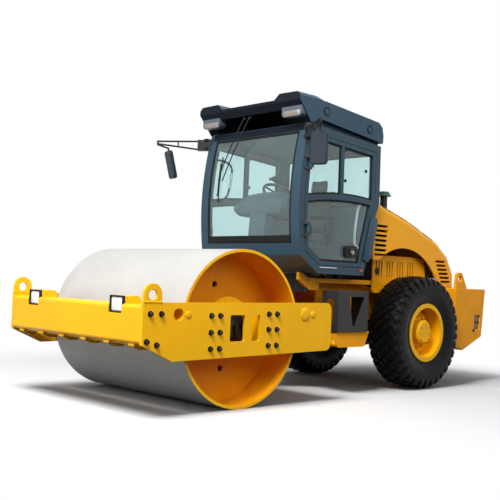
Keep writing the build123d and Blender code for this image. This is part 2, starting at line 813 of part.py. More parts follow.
def door_frame_panel():
    y0 = cab_inner_y
    frame = across(door_outline() - door_panes(), y0, cab_half_width)
    for z in door_hinge_z:
        x, top = drum_x + door_hinge_x, z + door_hinge_height
        ring = Circle(20) - Circle(door_hinge_radius + running)
        knuckle = upright(Pos(x, door_hinge_y) * ring, z, top)
        strap = block(x - 60, x - 12, cab_half_width, cab_half_width + 14, z, top)
        frame += knuckle + strap
    return frame


def door_glass():
    middle = cab_half_width - cab_side_thickness / 2
    return across(door_panes(), middle - glass_thickness / 2, middle + glass_thickness / 2)


def door_hinge_pins():
    """Pins on the front posts, each held by a lug above and below the door's knuckle."""
    one = []
    for z in door_hinge_z:
        x, y = drum_x + door_hinge_x, door_hinge_y
        pin = upright(Pos(x, y) * Circle(door_hinge_radius), z - 25, z + door_hinge_height + 25)
        for low in (z - 25, z + door_hinge_height + part_gap):
            lug = make_hull([*(Pos(x, y) * Circle(18)).edges(),
                             *(Pos(x + 55, cab_half_width + 3) * Rectangle(40, 6)).edges()])
            pin += upright(lug, low, low + 20)
        one.append(pin)
    return pair(group(*one))


latch_x = (-1990.0, -1790.0)
latch_z = (1530.0, 1668.0)
latch_proud = 22.0


def door_latch():
    """Lock plate on the door's lower glass."""
    glass_y = cab_half_width - cab_side_thickness / 2 + glass_thickness / 2
    plate = block(drum_x + latch_x[0], drum_x + latch_x[1], glass_y, cab_half_width + latch_proud, *latch_z)
    return fillet(plate.edges().filter_by(Axis.Y), 40)


# Roof
roof_lamp_y = roof_half_width - 163.0
roof_lamp_width = 300.0
roof_lamp_z = (3020.0, 3185.0)
roof_lamp_face = -995.0
ear_rise = 65.0
visor_lip = -950.0


def roof_profile(grow):
    """Side view of the roof cap: a thin lip in front, then a fascia that falls back to the windscreen."""
    lip = visor_lip - grow
    return outline(at_drum([
        (lip, 3185 - grow * 0.5), (lip, 3215 - grow), (-1360, 3230 - grow), (-2320, 3142 - grow),
        (-2388 + grow, 3090 - grow), (-2412 + grow, 2990), (-2405 + grow, 2905 - grow * 4),
        (-1290, 3022 - grow * 4), (-1140 - grow, 2964 - grow * 4),
    ]), 22, (2, 3, 4, 5))


def roof_ear():
    """A raised front corner of the roof over a work lamp."""
    low, high = 3190.0, 3215.0 + ear_rise
    shape = outline([(395, low), (505, high), (roof_half_width - 45, high - 5), (roof_half_width, high - 45),
                     (roof_half_width, low)], 15, (1, 2, 3))
    ear = along(shape, drum_x - 1330, drum_x + visor_lip)
    slope = outline(at_drum([(visor_lip + 5, 3185), (visor_lip + 5, 3300), (-1200, 3300), (-1330, 3225),
                             (-1330, 3185)]))
    return ear & across(slope, 0, roof_half_width + 5)


def cab_roof():
    """Moulded roof cap with a front visor whose corners rise over the work lamps, seated on the cab's top."""
    half = roof_half_width
    hollow = across(roof_profile(roof_wall), roof_wall - half, half - roof_wall)
    cap = across(roof_profile(0), -half, half) - hollow
    rail_y = (half - 110, half - 65)
    rail = block(drum_x - 2390, drum_x - 1150, *rail_y, cab_rear_top[1] - 20, cab_front_top[1] + 60)
    rail += across(roof_profile(0), *rail_y) & block(drum_x - 2390, drum_x - 1150, *rail_y, 2800, 3300)
    cap = cap + pair(roof_ear()) + pair(rail) - across(cab_outline(), -cab_half_width, cab_half_width)
    return cap - roof_lamps()


def roof_lamps():
    low, high = roof_lamp_z
    lamp = block(drum_x + roof_lamp_face - 95, drum_x + roof_lamp_face, roof_lamp_y - roof_lamp_width / 2,
                 roof_lamp_y + roof_lamp_width / 2, low, high)
    return pair(fillet(lamp.edges().filter_by(Axis.X), 45))


# Cab interior
def seat_base():
    stand = block(-190, 190, -180, 180, cab_floor_z + cab_wall, 1640)
    return Pos(drum_x - 1900, 0, 0) * (stand + block(-220, 220, -230, 230, 1640, 1690))


def seat():
    cushion = fillet(block(drum_x - 2150, drum_x - 1650, -250, 250, 1690, 1830).edges(), 45)
    back = outline(at_drum([(-2050, 1835), (-2170, 2330), (-2270, 2310), (-2170, 1815)]), 40)
    head = outline(at_drum([(-2172, 2331), (-2200, 2510), (-2275, 2495), (-2262, 2312)]), 28)
    return group(cushion, across(back, -235, 235), across(head, -140, 140))


wheel_centre = (-1535.0, 2250.0)
wheel_tilt = (-0.5, 0.866)
dash_half_width = 400.0


def console():
    """Instrument pod on a pedestal, with the steering column."""
    foot = outline(at_drum([(-1130, 1380), (-1190, 2040), (-1330, 2040), (-1350, 1380)]))
    stand = across(foot & inset(cab_outline(), cab_wall), -125, 125)
    pod = outline(at_drum([(-1180, 1990), (-1165, 2085), (-1250, 2225), (-1410, 2275), (-1470, 2225),
                           (-1425, 2060), (-1330, 1970)]), 45)
    dome = make_face(ThreePointArc((-dash_half_width, 2060), (0, 2290), (dash_half_width, 2060))
                     + Polyline((dash_half_width, 2060), (dash_half_width - 90, 1960),
                                (90 - dash_half_width, 1960), (-dash_half_width, 2060)))
    dash = across(pod, -dash_half_width, dash_half_width) & along(dome, drum_x - 1600, drum_x - 1100)
    back = [wheel_centre[i] - 30 * wheel_tilt[i] for i in (0, 1)]
    base = [back[i] - 195 * wheel_tilt[i] for i in (0, 1)]
    column = rod_between((drum_x + base[0], 0, base[1]), (drum_x + back[0], 0, back[1]), 32)
    return stand + dash + column


def steering_wheel():
    tilt = Plane((drum_x + wheel_centre[0], 0, wheel_centre[1]), z_dir=(wheel_tilt[0], 0, wheel_tilt[1]))
    ring = tilt * Torus(205, 17)
    hub = tilt * Pos(0, 0, -10) * Cylinder(48, 40)
    spokes = []
    for turn in (90, 210, 330):
        a = math.radians(turn)
        end = tilt.from_local_coords(Vector(200 * math.cos(a), 200 * math.sin(a), 0))
        start = tilt.from_local_coords(Vector(20 * math.cos(a), 20 * math.sin(a), -6))
        spokes.append(rod_between(start, end, 11))
    return ring + hub + spokes


# Mirrors
mirror_tip = (-720.0, cab_half_width + 530.0)
mirror_hang = (-95.0, -95.0)
mirror_arm_z = 2890.0
mirror_foot = (-1135.0, cab_half_width - 20.0)
mirror_width = 190.0
mirror_height = 345.0
mirror_depth = 48.0
mirror_drop = 112.0
mirror_turn = 18.0
right_mirror_lean = 14.0


def mirror_arms():
    """Tapering tube truss from the cab's front corner, with the bent rod that the mirror hangs on."""
    foot = Vector(drum_x + mirror_foot[0], mirror_foot[1], mirror_arm_z)
    tip = Vector(drum_x + mirror_tip[0], mirror_tip[1], mirror_arm_z)
    root = foot + (tip - foot) * 0.25
    half = root + (tip - root) * 0.5
    arm = rod_between(root + Vector(0, 0, 5), tip, 11)
    arm += rod_between(root + Vector(0, 0, -95), tip + Vector(0, 0, -30), 11)
    arm += rod_between(half + Vector(0, 0, -62), half + Vector(0, 0, 2), 8)
    knee = tip + Vector(0, 0, -40)
    hang = tip + Vector(mirror_hang[0], mirror_hang[1], 30 - mirror_drop)
    arm += rod_between(tip + Vector(0, 0, 11), knee, 11) + Pos(*knee) * Sphere(11)
    arm += rod_between(knee, hang, 11) + Pos(*hang) * Sphere(11)
    arm += rod_between(hang, hang + Vector(0, 0, -30), 11)
    middle = foot + (root - foot) * 0.55 + Vector(0, 0, -45)
    lie = Plane(middle, x_dir=(tip - foot).normalized(), z_dir=(0, 0, 1))
    clamp = lie * Box((root - foot).length, 70, 130)
    made = pair((arm + clamp) - across(cab_outline(), -cab_half_width, cab_half_width))
    return group(*[one - mirrors() for one in made.solids()])


def mirrors():
    """Mirror housings under their hanging rods, turned out from straight ahead, the right one leaning."""
    a = math.radians(mirror_turn)
    facing, wide = Vector(math.cos(a), math.sin(a), 0), (-math.sin(a), math.cos(a), 0)
    top = Vector(drum_x + mirror_tip[0] + mirror_hang[0], mirror_tip[1] + mirror_hang[1],
                 mirror_arm_z - mirror_drop)
    middle = top - facing * (mirror_depth / 2) - Vector(0, 0, mirror_height / 2)
    back = Plane(middle, x_dir=wide, z_dir=facing)
    shell = extrude(back * RectangleRounded(mirror_width, mirror_height, 38), amount=mirror_depth)
    shell = fillet(shell.faces().sort_by(Axis.X)[-1].edges(), 14)
    other = flipped(shell)
    hinge = Axis((top.X, -top.Y, top.Z - 8), (wide[0], -wide[1], 0))
    return group(shell, other.rotate(hinge, -right_mirror_lean))


def build():
    """All nodes of the machine by name."""
    left_door, left_glass, latch = door_frame_panel(), door_glass(), door_latch()
    nodes = {
        "drum_shell": drum_shell(),
        "drum_heads": drum_heads(),
        "side_plates": side_plates(),
        "lifting_eyes": lifting_eyes(),
        "front_beam": front_beam(),
        "front_lamps": front_lamps(),
        "drum_scrapers": drum_scrapers(),
        "drum_carriers": drum_carriers(),
        "drum_hubs": drum_hubs(),
        "rubber_buffers": rubber_buffers(),
        "rear_crossbeam": rear_crossbeam(),
        "hitch_block": hitch_block(),
        "steer_pins": steer_pins(),
        "steer_barrel_left": steer_barrel(1),
        "steer_rod_left": steer_rod(1),
        "steer_barrel_right": steer_barrel(-1),
        "steer_rod_right": steer_rod(-1),
        "rear_frame": rear_frame(),
        "cab_mounts": cab_mounts(),
        "side_tanks": side_tanks(),
        "step_boxes": step_boxes(),
        "rear_axle": rear_axle(),
        "engine_block": engine_block(),
        "radiator": radiator(),
        "counterweight": counterweight(),
        "rear_lugs": rear_lugs(),
        "tail_lamps": tail_lamps(),
        "engine_screens": engine_screens(),
        "hood": hood(),
        "intake_stack": intake_stack(),
        "rim_left": rim(1),
        "tyre_left": tyre(1),
        "rim_right": rim(-1),
        "tyre_right": tyre(-1),
        "cab_floor": cab_floor(),
        "cab_side_frames": cab_side_frames(),
        "cab_front_frame": cab_front_frame(),
        "cab_rear_frame": cab_rear_frame(),
        "cab_top_frame": cab_top_frame(),
        "windscreen": windscreen(),
        "rear_window": rear_window(),
        "door_left": left_door,
        "door_left_glass": left_glass,
        "door_left_latch": latch,
        "door_right": flipped(left_door),
        "door_right_glass": flipped(left_glass),
        "door_right_latch": flipped(latch),
        "hinge_pins": group(door_hinge_pins(), hood_hinges()),
        "cab_roof": cab_roof(),
        "roof_lamps": roof_lamps(),
        "seat_base": seat_base(),
        "seat": seat(),
        "console": console(),
        "steering_wheel": steering_wheel(),
        "mirror_arms": mirror_arms(),
        "mirrors": mirrors(),
    }
    return nodes


if __name__ == "__main__":
    os.makedirs("parts", exist_ok=True)
    for name, shape in build().items():
        export_step(shape, f"parts/{name}.step")
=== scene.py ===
import json
import math

import bmesh
import bpy
from mathutils import Matrix, Vector
from mathutils.bvhtree import BVHTree


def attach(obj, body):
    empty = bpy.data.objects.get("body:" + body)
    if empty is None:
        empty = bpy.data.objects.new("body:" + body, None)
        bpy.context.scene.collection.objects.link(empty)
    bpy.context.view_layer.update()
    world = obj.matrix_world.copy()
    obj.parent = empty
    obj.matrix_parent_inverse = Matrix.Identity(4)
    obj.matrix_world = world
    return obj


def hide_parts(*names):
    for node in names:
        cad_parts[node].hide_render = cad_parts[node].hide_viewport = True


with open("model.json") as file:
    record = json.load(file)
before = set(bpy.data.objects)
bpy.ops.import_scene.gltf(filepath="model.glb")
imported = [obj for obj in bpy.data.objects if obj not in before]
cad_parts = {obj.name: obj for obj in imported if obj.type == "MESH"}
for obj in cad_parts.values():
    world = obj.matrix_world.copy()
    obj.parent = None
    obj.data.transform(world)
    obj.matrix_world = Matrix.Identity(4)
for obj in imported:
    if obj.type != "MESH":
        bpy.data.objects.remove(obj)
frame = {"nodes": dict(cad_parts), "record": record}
cad = frame["nodes"]
scene = bpy.context.scene
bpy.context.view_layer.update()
print("frame loaded")

# Where the two axles stand and the radii they turn at, in metres
station = {"drum": 1.69, "drumRadius": 0.765, "axle": -1.43, "tyreRadius": 0.68}
sides = {"left": 1, "right": -1}


def atDrum(x, y, z):
    # x is counted forwards from the drum's axle
    return Vector((station["drum"] + x, y, z))


def route(points, s=1):
    # places in a row, mirrored to the side that s gives
    return [atDrum(x, s * y, z) for x, y, z in points]


def flat(points, y):
    # an outline drawn in side view, standing at y
    return [atDrum(x, y, z) for x, z in points]


def linear(hexColour, gain=1.0):
    channels = [int(hexColour[i:i + 2], 16) / 255 for i in (0, 2, 4)]
    curve = [c / 12.92 if c <= 0.04045 else ((c + 0.055) / 1.055) ** 2.4 for c in channels]
    return tuple(min(1.0, gain * c) for c in curve) + (1.0,)


def addNode(tree, kind, links=None, sockets=None, **settings):
    node = tree.nodes.new(kind)
    for key, value in settings.items():
        setattr(node, key, value)
    for key, value in (sockets or {}).items():
        node.inputs[key].default_value = value
    for key, source in (links or {}).items():
        tree.links.new(source, node.inputs[key])
    return node


def finish(name, hexColour, rough, tone=0.05, toneMm=400, roughSpread=0.06, grain=0.0, grainMm=3.0,
           **shader):
    # tone and sheen drift over toneMm; grain is a bump grainMm across and grain millimetres deep,
    # drawn coarser than the real one, which would be too fine to show
    mat = bpy.data.materials.new(name)
    mat.use_nodes = True
    mat.diffuse_color = linear(hexColour)
    tree = mat.node_tree
    base = tree.nodes["Principled BSDF"]
    for key, value in shader.items():
        base.inputs[key.replace("_", " ")].default_value = value
    place = addNode(tree, "ShaderNodeTexCoord").outputs["Object"]
    broad = addNode(tree, "ShaderNodeTexNoise", {"Vector": place}, {"Scale": 1000 / toneMm, "Detail": 5.0})
    ramp = addNode(tree, "ShaderNodeValToRGB", {"Fac": broad.outputs["Fac"]})
    for stop, where, gain in zip(ramp.color_ramp.elements, (0.32, 0.68), (1 - tone, 1 + tone)):
        stop.position, stop.color = where, linear(hexColour, gain)
    tree.links.new(ramp.outputs["Color"], base.inputs["Base Color"])
    patches = addNode(tree, "ShaderNodeTexNoise", {"Vector": place}, {"Scale": 6000 / toneMm, "Detail": 4.0})
    spread = {"From Min": 0.3, "From Max": 0.7, "To Min": rough - roughSpread, "To Max": rough + roughSpread}
    sheen = addNode(tree, "ShaderNodeMapRange", {"Value": patches.outputs["Fac"]}, spread)
    tree.links.new(sheen.outputs["Result"], base.inputs["Roughness"])
    if grain:
        fine = addNode(tree, "ShaderNodeTexNoise", {"Vector": place},
                       {"Scale": 1000 / grainMm, "Detail": 2.0})
        bump = addNode(tree, "ShaderNodeBump", {"Height": fine.outputs["Fac"]},
                       {"Strength": 0.5, "Distance": grain / 1000})
        tree.links.new(bump.outputs["Normal"], base.inputs["Normal"])
    return mat


# Sprayed enamel and gelcoat: full colour under a soft gloss, with a faint orange peel
yellowEnamel = finish("yellowEnamel", "f3b60a", 0.42, tone=0.04, grain=0.25, grainMm=5,
                      Coat_Weight=0.12, Coat_Roughness=0.1, Specular_IOR_Level=0.15)
# a redder copy of the yellow enamel: painted shade on the drum's inside, the rear frame, side tanks, hitch
# block and engine screens, and the counterweight's and rear lugs' own more orange paint
orangeEnamelAndShade = finish("orangeEnamelAndShade", "efa010", 0.46, tone=0.05, grain=0.25, grainMm=5,
                      Coat_Weight=0.08, Coat_Roughness=0.15, Specular_IOR_Level=0.12)
hoodGelcoat = finish("hoodGelcoat", "f6ac0e", 0.34, tone=0.03, grain=0.15, grainMm=6,
                     Coat_Weight=0.15, Coat_Roughness=0.1, Specular_IOR_Level=0.15)
cabEnamel = finish("blueGreyEnamel", "28404f", 0.38, tone=0.05, grain=0.2, grainMm=5,
                   Coat_Weight=0.1, Coat_Roughness=0.1, Specular_IOR_Level=0.22)
capGreen = finish("darkGreenEnamel", "21423a", 0.42, tone=0.08, toneMm=90, grain=0.2, grainMm=4)
whiteGrip = finish("whitePowderCoat", "d7dadb", 0.42, tone=0.04, toneMm=90, grain=0.2, grainMm=2)
# Dark walked-on paint and blackened steel: dull, with an uneven tone
stepEnamel = finish("darkGreyEnamel", "2c2c2e", 0.48, tone=0.08, toneMm=250, grain=0.3, grainMm=4,
                    Specular_IOR_Level=0.25)
blackOxide = finish("blackOxideSteel", "1d1b19", 0.42, tone=0.2, toneMm=60, Metallic=0.6)
# Moulded panels and shells: a broad, low sheen broken by a pebbled grain
roofMoulding = finish("blueGreyMoulding", "2e4658", 0.46, tone=0.05, grain=0.35, grainMm=2.5,
                      Specular_IOR_Level=0.22)
# a near-black navy: painted shade on the roof's downward and forward faces and across the windscreen's header
visorShadeMoulding = finish("navyShadeMoulding", "0a141f", 0.52, tone=0.06, grain=0.35, grainMm=2.5,
                       Specular_IOR_Level=0.12)
liner = finish("greyTrimPanel", "424f5c", 0.62, tone=0.05, toneMm=300, grain=0.4, grainMm=2)
darkTrim = finish("grainedDashMoulding", "46525d", 0.6, tone=0.06, toneMm=200, grain=0.5, grainMm=2)
blackPlastic = finish("grainedBlackPlastic", "131416", 0.5, tone=0.12, toneMm=150, grain=0.3, grainMm=2,
                      Specular_IOR_Level=0.25)
mirrorShell = finish("slatePlasticShell", "16232e", 0.46, tone=0.05, toneMm=150, grain=0.2, grainMm=2,
                     Specular_IOR_Level=0.2)
lampShell = finish("greyLampShell", "46525e", 0.4, tone=0.05, toneMm=80, grain=0.2, grainMm=2)
# Rubber: nearly black and matt; the tyres have patches of sheen where they are rubbed
sealRubber = finish("extrudedSealRubber", "0d0e10", 0.6, tone=0.15, toneMm=80, grain=0.2, grainMm=1.5,
                    Specular_IOR_Level=0.2)
moulded = finish("mouldedRubber", "131315", 0.7, tone=0.15, toneMm=100, grain=0.3, grainMm=2)
tyreRubber = finish("tyreRubber", "090909", 0.44, tone=0.25, toneMm=180, roughSpread=0.12, grain=0.6,
                    grainMm=4, Specular_IOR_Level=0.12)
# Bright metal: chrome and silvering mirror what is round them, zinc is greyer and spangled
chrome = finish("hardChrome", "d8d8d8", 0.14, tone=0.02, toneMm=300, roughSpread=0.03, Metallic=1.0)
zinc = finish("zincPlate", "b9bcc0", 0.34, tone=0.06, toneMm=40, Metallic=0.9)
mirrorGlass = finish("silveredGlass", "dfe6ea", 0.04, tone=0.01, roughSpread=0.02, Metallic=1.0)
# Lamp lenses: sharp highlights on a hard skin over a rippled moulding
clearLens = finish("clearLens", "f1f4f6", 0.14, tone=0.03, toneMm=30, roughSpread=0.04, grain=0.8, grainMm=9,
                   Coat_Weight=0.6)
smokedLens = finish("smokedLens", "857a74", 0.2, tone=0.08, toneMm=40, roughSpread=0.05, Coat_Weight=0.6)
smokedRed = finish("smokedRedLens", "3a0f0e", 0.18, tone=0.1, toneMm=25, roughSpread=0.04, grain=0.5,
                   grainMm=5, Coat_Weight=0.5)
redLens = finish("redLens", "b01210", 0.16, tone=0.08, toneMm=25, roughSpread=0.04, grain=0.5, grainMm=5,
                 Coat_Weight=0.6)
# Grained vinyl: a soft bloom at grazing angles
seatVinyl = finish("stitchedSeatVinyl", "3a3d42", 0.55, tone=0.08, toneMm=90, grain=0.5, grainMm=2.2,
                   Sheen_Weight=0.15)
# Tinted laminate: clear enough to show the cab's inside
cabGlass = finish("tintedSafetyGlass", "dcf0f0", 0.03, tone=0.02, toneMm=700, roughSpread=0.02,
                  Transmission_Weight=0.95, IOR=1.33)

# Rolled plate rubbed bright by use: cloudy tone, and faint bands about 6 mm wide round the drum
drumBands = {"stretch": (2.0, 110.0, 2.0), "noise": 1.4, "strength": 0.12, "deep": 0.0008}
drumSteel = finish("rolledDrumSteel", "aeaeae", 0.5, tone=0.05, toneMm=350)
tree = drumSteel.node_tree
place = addNode(tree, "ShaderNodeTexCoord").outputs["Object"]
bands = addNode(tree, "ShaderNodeMapping", {"Vector": place}, {"Scale": drumBands["stretch"]})
scratch = addNode(tree, "ShaderNodeTexNoise", {"Vector": bands.outputs["Vector"]},
                  {"Scale": drumBands["noise"], "Detail": 6.0})
groove = addNode(tree, "ShaderNodeBump", {"Height": scratch.outputs["Fac"]},
                 {"Strength": drumBands["strength"], "Distance": drumBands["deep"]})
tree.links.new(groove.outputs["Normal"], tree.nodes["Principled BSDF"].inputs["Normal"])

slotMaterial = {
    "yellow_paint": yellowEnamel, "hood_gelcoat": hoodGelcoat, "drum_steel": drumSteel,
    "cab_paint": cabEnamel, "roof_moulding": roofMoulding, "cab_glass": cabGlass,
    "tyre_rubber": tyreRubber, "black_plastic": blackPlastic, "dark_steel": stepEnamel,
    "bare_rod": chrome, "buffer_rubber": moulded, "lamp_lens": clearLens,
    "tail_lens": redLens, "seat_vinyl": seatVinyl,
}
for part in frame["record"]["subparts"]:
    target = cad[part["node"]]
    target.data.materials.clear()
    target.data.materials.append(slotMaterial[part["material_slot"]])

# nodes whose finish isn't the usual one of their slot
otherPaint = [
    # the redder enamel is painted shade on the drum heads, rear frame, tanks, hitch and screens, and the
    # counterweight's and rear lugs' own orange
    (orangeEnamelAndShade, ("drum_heads", "rear_frame", "side_tanks", "engine_screens", "hitch_block",
                    "counterweight", "rear_lugs")),
    (yellowEnamel, ("drum_scrapers", "drum_hubs")),
    (darkTrim, ("console", "seat_base")),
    (mirrorShell, ("mirrors",)),
    (lampShell, ("roof_lamps",)),
    (blackPlastic, ("mirror_arms",)),
]
for material, nodes in otherPaint:
    for node in nodes:
        cad[node].data.materials[0] = material


def repaint(node, material, wanted):
    # a second finish on those faces of a CAD node that answer to wanted(centre, normal)
    mesh = cad[node].data
    mesh.materials.append(material)
    index = len(mesh.materials) - 1
    for face in mesh.polygons:
        if wanted(face.center, face.normal):
            face.material_index = index


# how far inside the drum's face its paint begins, and how high the intake's cap begins
paintLine = {"drumWall": 0.006, "capFoot": 2.335}
drumInside = station["drumRadius"] - paintLine["drumWall"]
# the shell's inside takes the redder enamel as painted shade, and its end rims the yellow
repaint("drum_shell", orangeEnamelAndShade,
        lambda c, n: math.hypot(c.x - station["drum"], c.z - station["drumRadius"]) < drumInside)
repaint("drum_shell", yellowEnamel, lambda c, n: abs(n.y) > 0.9)
# the roof's downward and forward faces get painted shade in dark navy
repaint("cab_roof", visorShadeMoulding, lambda c, n: n.z < -0.15 or n.x > 0.3)
repaint("cab_top_frame", liner, lambda c, n: n.z < -0.3)
repaint("cab_rear_frame", liner, lambda c, n: n.x > 0.3)
repaint("cab_floor", moulded, lambda c, n: n.z > 0.5)
repaint("cab_front_frame", liner, lambda c, n: n.x < -0.5)
for node in ("cab_side_frames", "door_left", "door_right"):
    repaint(node, liner, lambda c, n: n.y * c.y < -0.5)
repaint("front_lamps", yellowEnamel, lambda c, n: n.x < 0.9)
repaint("intake_stack", capGreen, lambda c, n: c.z > paintLine["capFoot"] and c.y > 0)
repaint("intake_stack", blackOxide, lambda c, n: c.z < paintLine["capFoot"] or c.y < 0)
print("materials assigned")

# Camera: the photo's own viewpoint, fitted to the drum, wheel and cab
photoCamera = {"place": atDrum(5.643, 6.999, 1.236), "yaw": 3.947, "pitch": 0.035, "roll": 0.039,
               "lens": 61.4, "sensor": 36.0}


def addCamera(settings):
    yaw, pitch, roll = settings["yaw"], settings["pitch"], settings["roll"]
    look = Vector((math.cos(yaw) * math.cos(pitch), math.sin(yaw) * math.cos(pitch), math.sin(pitch)))
    level = Vector((math.sin(yaw), -math.cos(yaw), 0))
    above = level.cross(look)
    right = level * math.cos(roll) + above * math.sin(roll)
    upward = above * math.cos(roll) - level * math.sin(roll)
    data = bpy.data.cameras.new("photoCamera")
    data.lens, data.sensor_width = settings["lens"], settings["sensor"]
    camera = bpy.data.objects.new("photoCamera", data)
    turn = Matrix((right, upward, -look)).transposed().to_4x4()
    camera.matrix_world = Matrix.Translation(settings["place"]) @ turn
    scene.collection.objects.link(camera)
    scene.camera = camera


addCamera(photoCamera)


# Mesh helpers
def roundEdges(bm, verts, bevel):
    edges = list(dict.fromkeys(e for v in verts for e in v.link_edges))
    bmesh.ops.bevel(bm, geom=edges, offset=bevel, segments=2, profile=0.5, affect="EDGES")


def addBox(bm, low, high, bevel):
    verts = bmesh.ops.create_cube(bm, size=1.0)["verts"]
    for v in verts:
        v.co = Vector([(low[i] + high[i]) / 2 + v.co[i] * abs(high[i] - low[i]) for i in range(3)])
    roundEdges(bm, verts, bevel)


def addRod(bm, points, radius):
    # a NURBS line through the hints of the route, made a round tube
    curve = bpy.data.curves.new("rod", "CURVE")
    curve.dimensions = "3D"
    line = curve.splines.new("NURBS")
    line.points.add(len(points) - 1)
    for spot, where in zip(line.points, points):
        spot.co = (*where, 1.0)
    line.order_u = min(3, len(points))
    line.use_endpoint_u = True
    line.resolution_u = 10
    curve.bevel_depth, curve.bevel_resolution, curve.use_fill_caps = radius, 3, True
    holder = bpy.data.objects.new("rod", curve)
    mesh = bpy.data.meshes.new_from_object(holder)
    bm.from_mesh(mesh)
    bpy.data.objects.remove(holder)
    bpy.data.meshes.remove(mesh)
    bpy.data.curves.remove(curve)


def addTurned(bm, profile, centre, way, steps=32):
    # profile points are (radius, distance along way), closed on the axis
    way = Vector(way).normalized()
    across = way.orthogonal().normalized()
    other = way.cross(across)
    rings = []
    for radius, far in profile:
        angles = [2 * math.pi * i / steps for i in range(steps if radius > 1e-6 else 1)]
        rings.append([bm.verts.new(Vector(centre) + way * far
                                   + (across * math.cos(a) + other * math.sin(a)) * radius) for a in angles])
    for a, b in zip(rings, rings[1:]):
        for i in range(steps):
            corners = [a[i % len(a)], a[(i + 1) % len(a)], b[(i + 1) % len(b)], b[i % len(b)]]
            corners = list(dict.fromkeys(corners))
            if len(corners) > 2:
                bm.faces.new(corners)


def addPlate(bm, outline, depth, bevel=0.0):
    # a flat outline of points made solid along depth
    first = [bm.verts.new(p) for p in outline]
    moved = bmesh.ops.extrude_face_region(bm, geom=[bm.faces.new(first)])["geom"]
    tops = [v for v in moved if isinstance(v, bmesh.types.BMVert)]
    bmesh.ops.translate(bm, verts=tops, vec=Vector(depth))
    if bevel:
        roundEdges(bm, first + tops, bevel)


def rimBars(a0, a1, b0, b1, rim):
    # the four bars of a lamp's surround, each as (a from, a to, b from, b to)
    return [(a0, a1, b0, b0 + rim), (a0, a1, b1 - rim, b1),
            (a0, a0 + rim, b0 + rim, b1 - rim), (a1 - rim, a1, b0 + rim, b1 - rim)]


def addPiece(name, bm, material, body):
    bmesh.ops.remove_doubles(bm, verts=bm.verts, dist=1e-5)
    bmesh.ops.recalc_face_normals(bm, faces=bm.faces)
    mesh = bpy.data.meshes.new(name)
    bm.to_mesh(mesh)
    bm.free()
    for face in mesh.polygons:
        face.use_smooth = True
    mesh.set_sharp_from_angle(angle=math.radians(35))
    mesh.materials.append(material)
    piece = bpy.data.objects.new(name, mesh)
    scene.collection.objects.link(piece)
    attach(piece, body)
    return piece


def bake(piece):
    # what the modifiers make becomes the mesh
    bpy.context.view_layer.update()
    mesh = bpy.data.meshes.new_from_object(piece.evaluated_get(bpy.context.evaluated_depsgraph_get()))
    piece.modifiers.clear()
    piece.data = mesh
    return mesh


def skinOf(node):
    mesh = cad[node].data
    return BVHTree.FromPolygons([v.co for v in mesh.vertices], [p.vertices for p in mesh.polygons])


# Geometry Nodes helpers
def newTree(name, inputs):
    tree = bpy.data.node_groups.new(name, "GeometryNodeTree")
    tree.interface.new_socket("Geometry", in_out="INPUT", socket_type="NodeSocketGeometry")
    for label, (kind, value) in inputs.items():
        socket = tree.interface.new_socket(label, in_out="INPUT", socket_type="NodeSocket" + kind)
        if value is not None:
            socket.default_value = value
    tree.interface.new_socket("Geometry", in_out="OUTPUT", socket_type="NodeSocketGeometry")
    return tree, addNode(tree, "NodeGroupInput").outputs


def closeTree(tree, given, shape, points=None, **links):
    # the shape at every point, made real and painted; without points, at those of the mesh that comes in
    if points is None:
        points = addNode(tree, "GeometryNodeMeshToPoints", {"Mesh": given["Geometry"]}).outputs["Points"]
    many = addNode(tree, "GeometryNodeInstanceOnPoints", {"Points": points, "Instance": shape, **links})
    real = addNode(tree, "GeometryNodeRealizeInstances", {"Geometry": many.outputs["Instances"]})
    painted = addNode(tree, "GeometryNodeSetMaterial",
                      {"Geometry": real.outputs["Geometry"], "Material": given["Material"]})
    addNode(tree, "NodeGroupOutput", {"Geometry": painted.outputs["Geometry"]})


def growPiece(name, tree, mesh, settings, body):
    piece = bpy.data.objects.new(name, mesh)
    scene.collection.objects.link(piece)
    maker = piece.modifiers.new("maker", "NODES")
    maker.node_group = tree
    for item in tree.interface.items_tree:
        if item.in_out == "INPUT" and item.name in settings:
            maker[item.identifier] = settings[item.name]
    bake(piece)
    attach(piece, body)


def spotMesh(name, spots):
    # loose vertices with the way that each repeat points
    mesh = bpy.data.meshes.new(name)
    mesh.from_pydata([tuple(p) for p, _ in spots], [], [])
    ways = mesh.attributes.new("way", "FLOAT_VECTOR", "POINT")
    for item, (_, way) in zip(ways.data, spots):
        item.vector = way
    return mesh


# Hex bolts with washers
boltTree, given = newTree("hexBolts", {
    "Head Radius": ("Float", 0.023), "Head Height": ("Float", 0.02), "Washer Radius": ("Float", 0.032),
    "Washer Height": ("Float", 0.005), "Seed": ("Int", 7), "Material": ("Material", None),
})
washer = addNode(boltTree, "GeometryNodeMeshCylinder",
                 {"Radius": given["Washer Radius"], "Depth": given["Washer Height"]}, {"Vertices": 18})
head = addNode(boltTree, "GeometryNodeMeshCylinder",
               {"Radius": given["Head Radius"], "Depth": given["Head Height"]}, {"Vertices": 6})
crownTop = addNode(boltTree, "ShaderNodeMath", {0: given["Head Radius"]}, {1: 0.8}, operation="MULTIPLY")
crownHigh = addNode(boltTree, "ShaderNodeMath", {0: given["Head Height"]}, {1: 0.22}, operation="MULTIPLY")
crown = addNode(boltTree, "GeometryNodeMeshCone",
                {"Radius Top": crownTop.outputs[0], "Radius Bottom": given["Head Radius"],
                 "Depth": crownHigh.outputs[0]}, {"Vertices": 6})
lift = addNode(boltTree, "ShaderNodeMath", {0: given["Head Height"], 1: given["Washer Height"]},
               operation="ADD")
middle = addNode(boltTree, "ShaderNodeMath", {0: lift.outputs[0]}, {1: 0.5}, operation="MULTIPLY")
headPlace = addNode(boltTree, "ShaderNodeCombineXYZ", {"Z": middle.outputs[0]})
crownPlace = addNode(boltTree, "ShaderNodeCombineXYZ", {"Z": lift.outputs[0]})
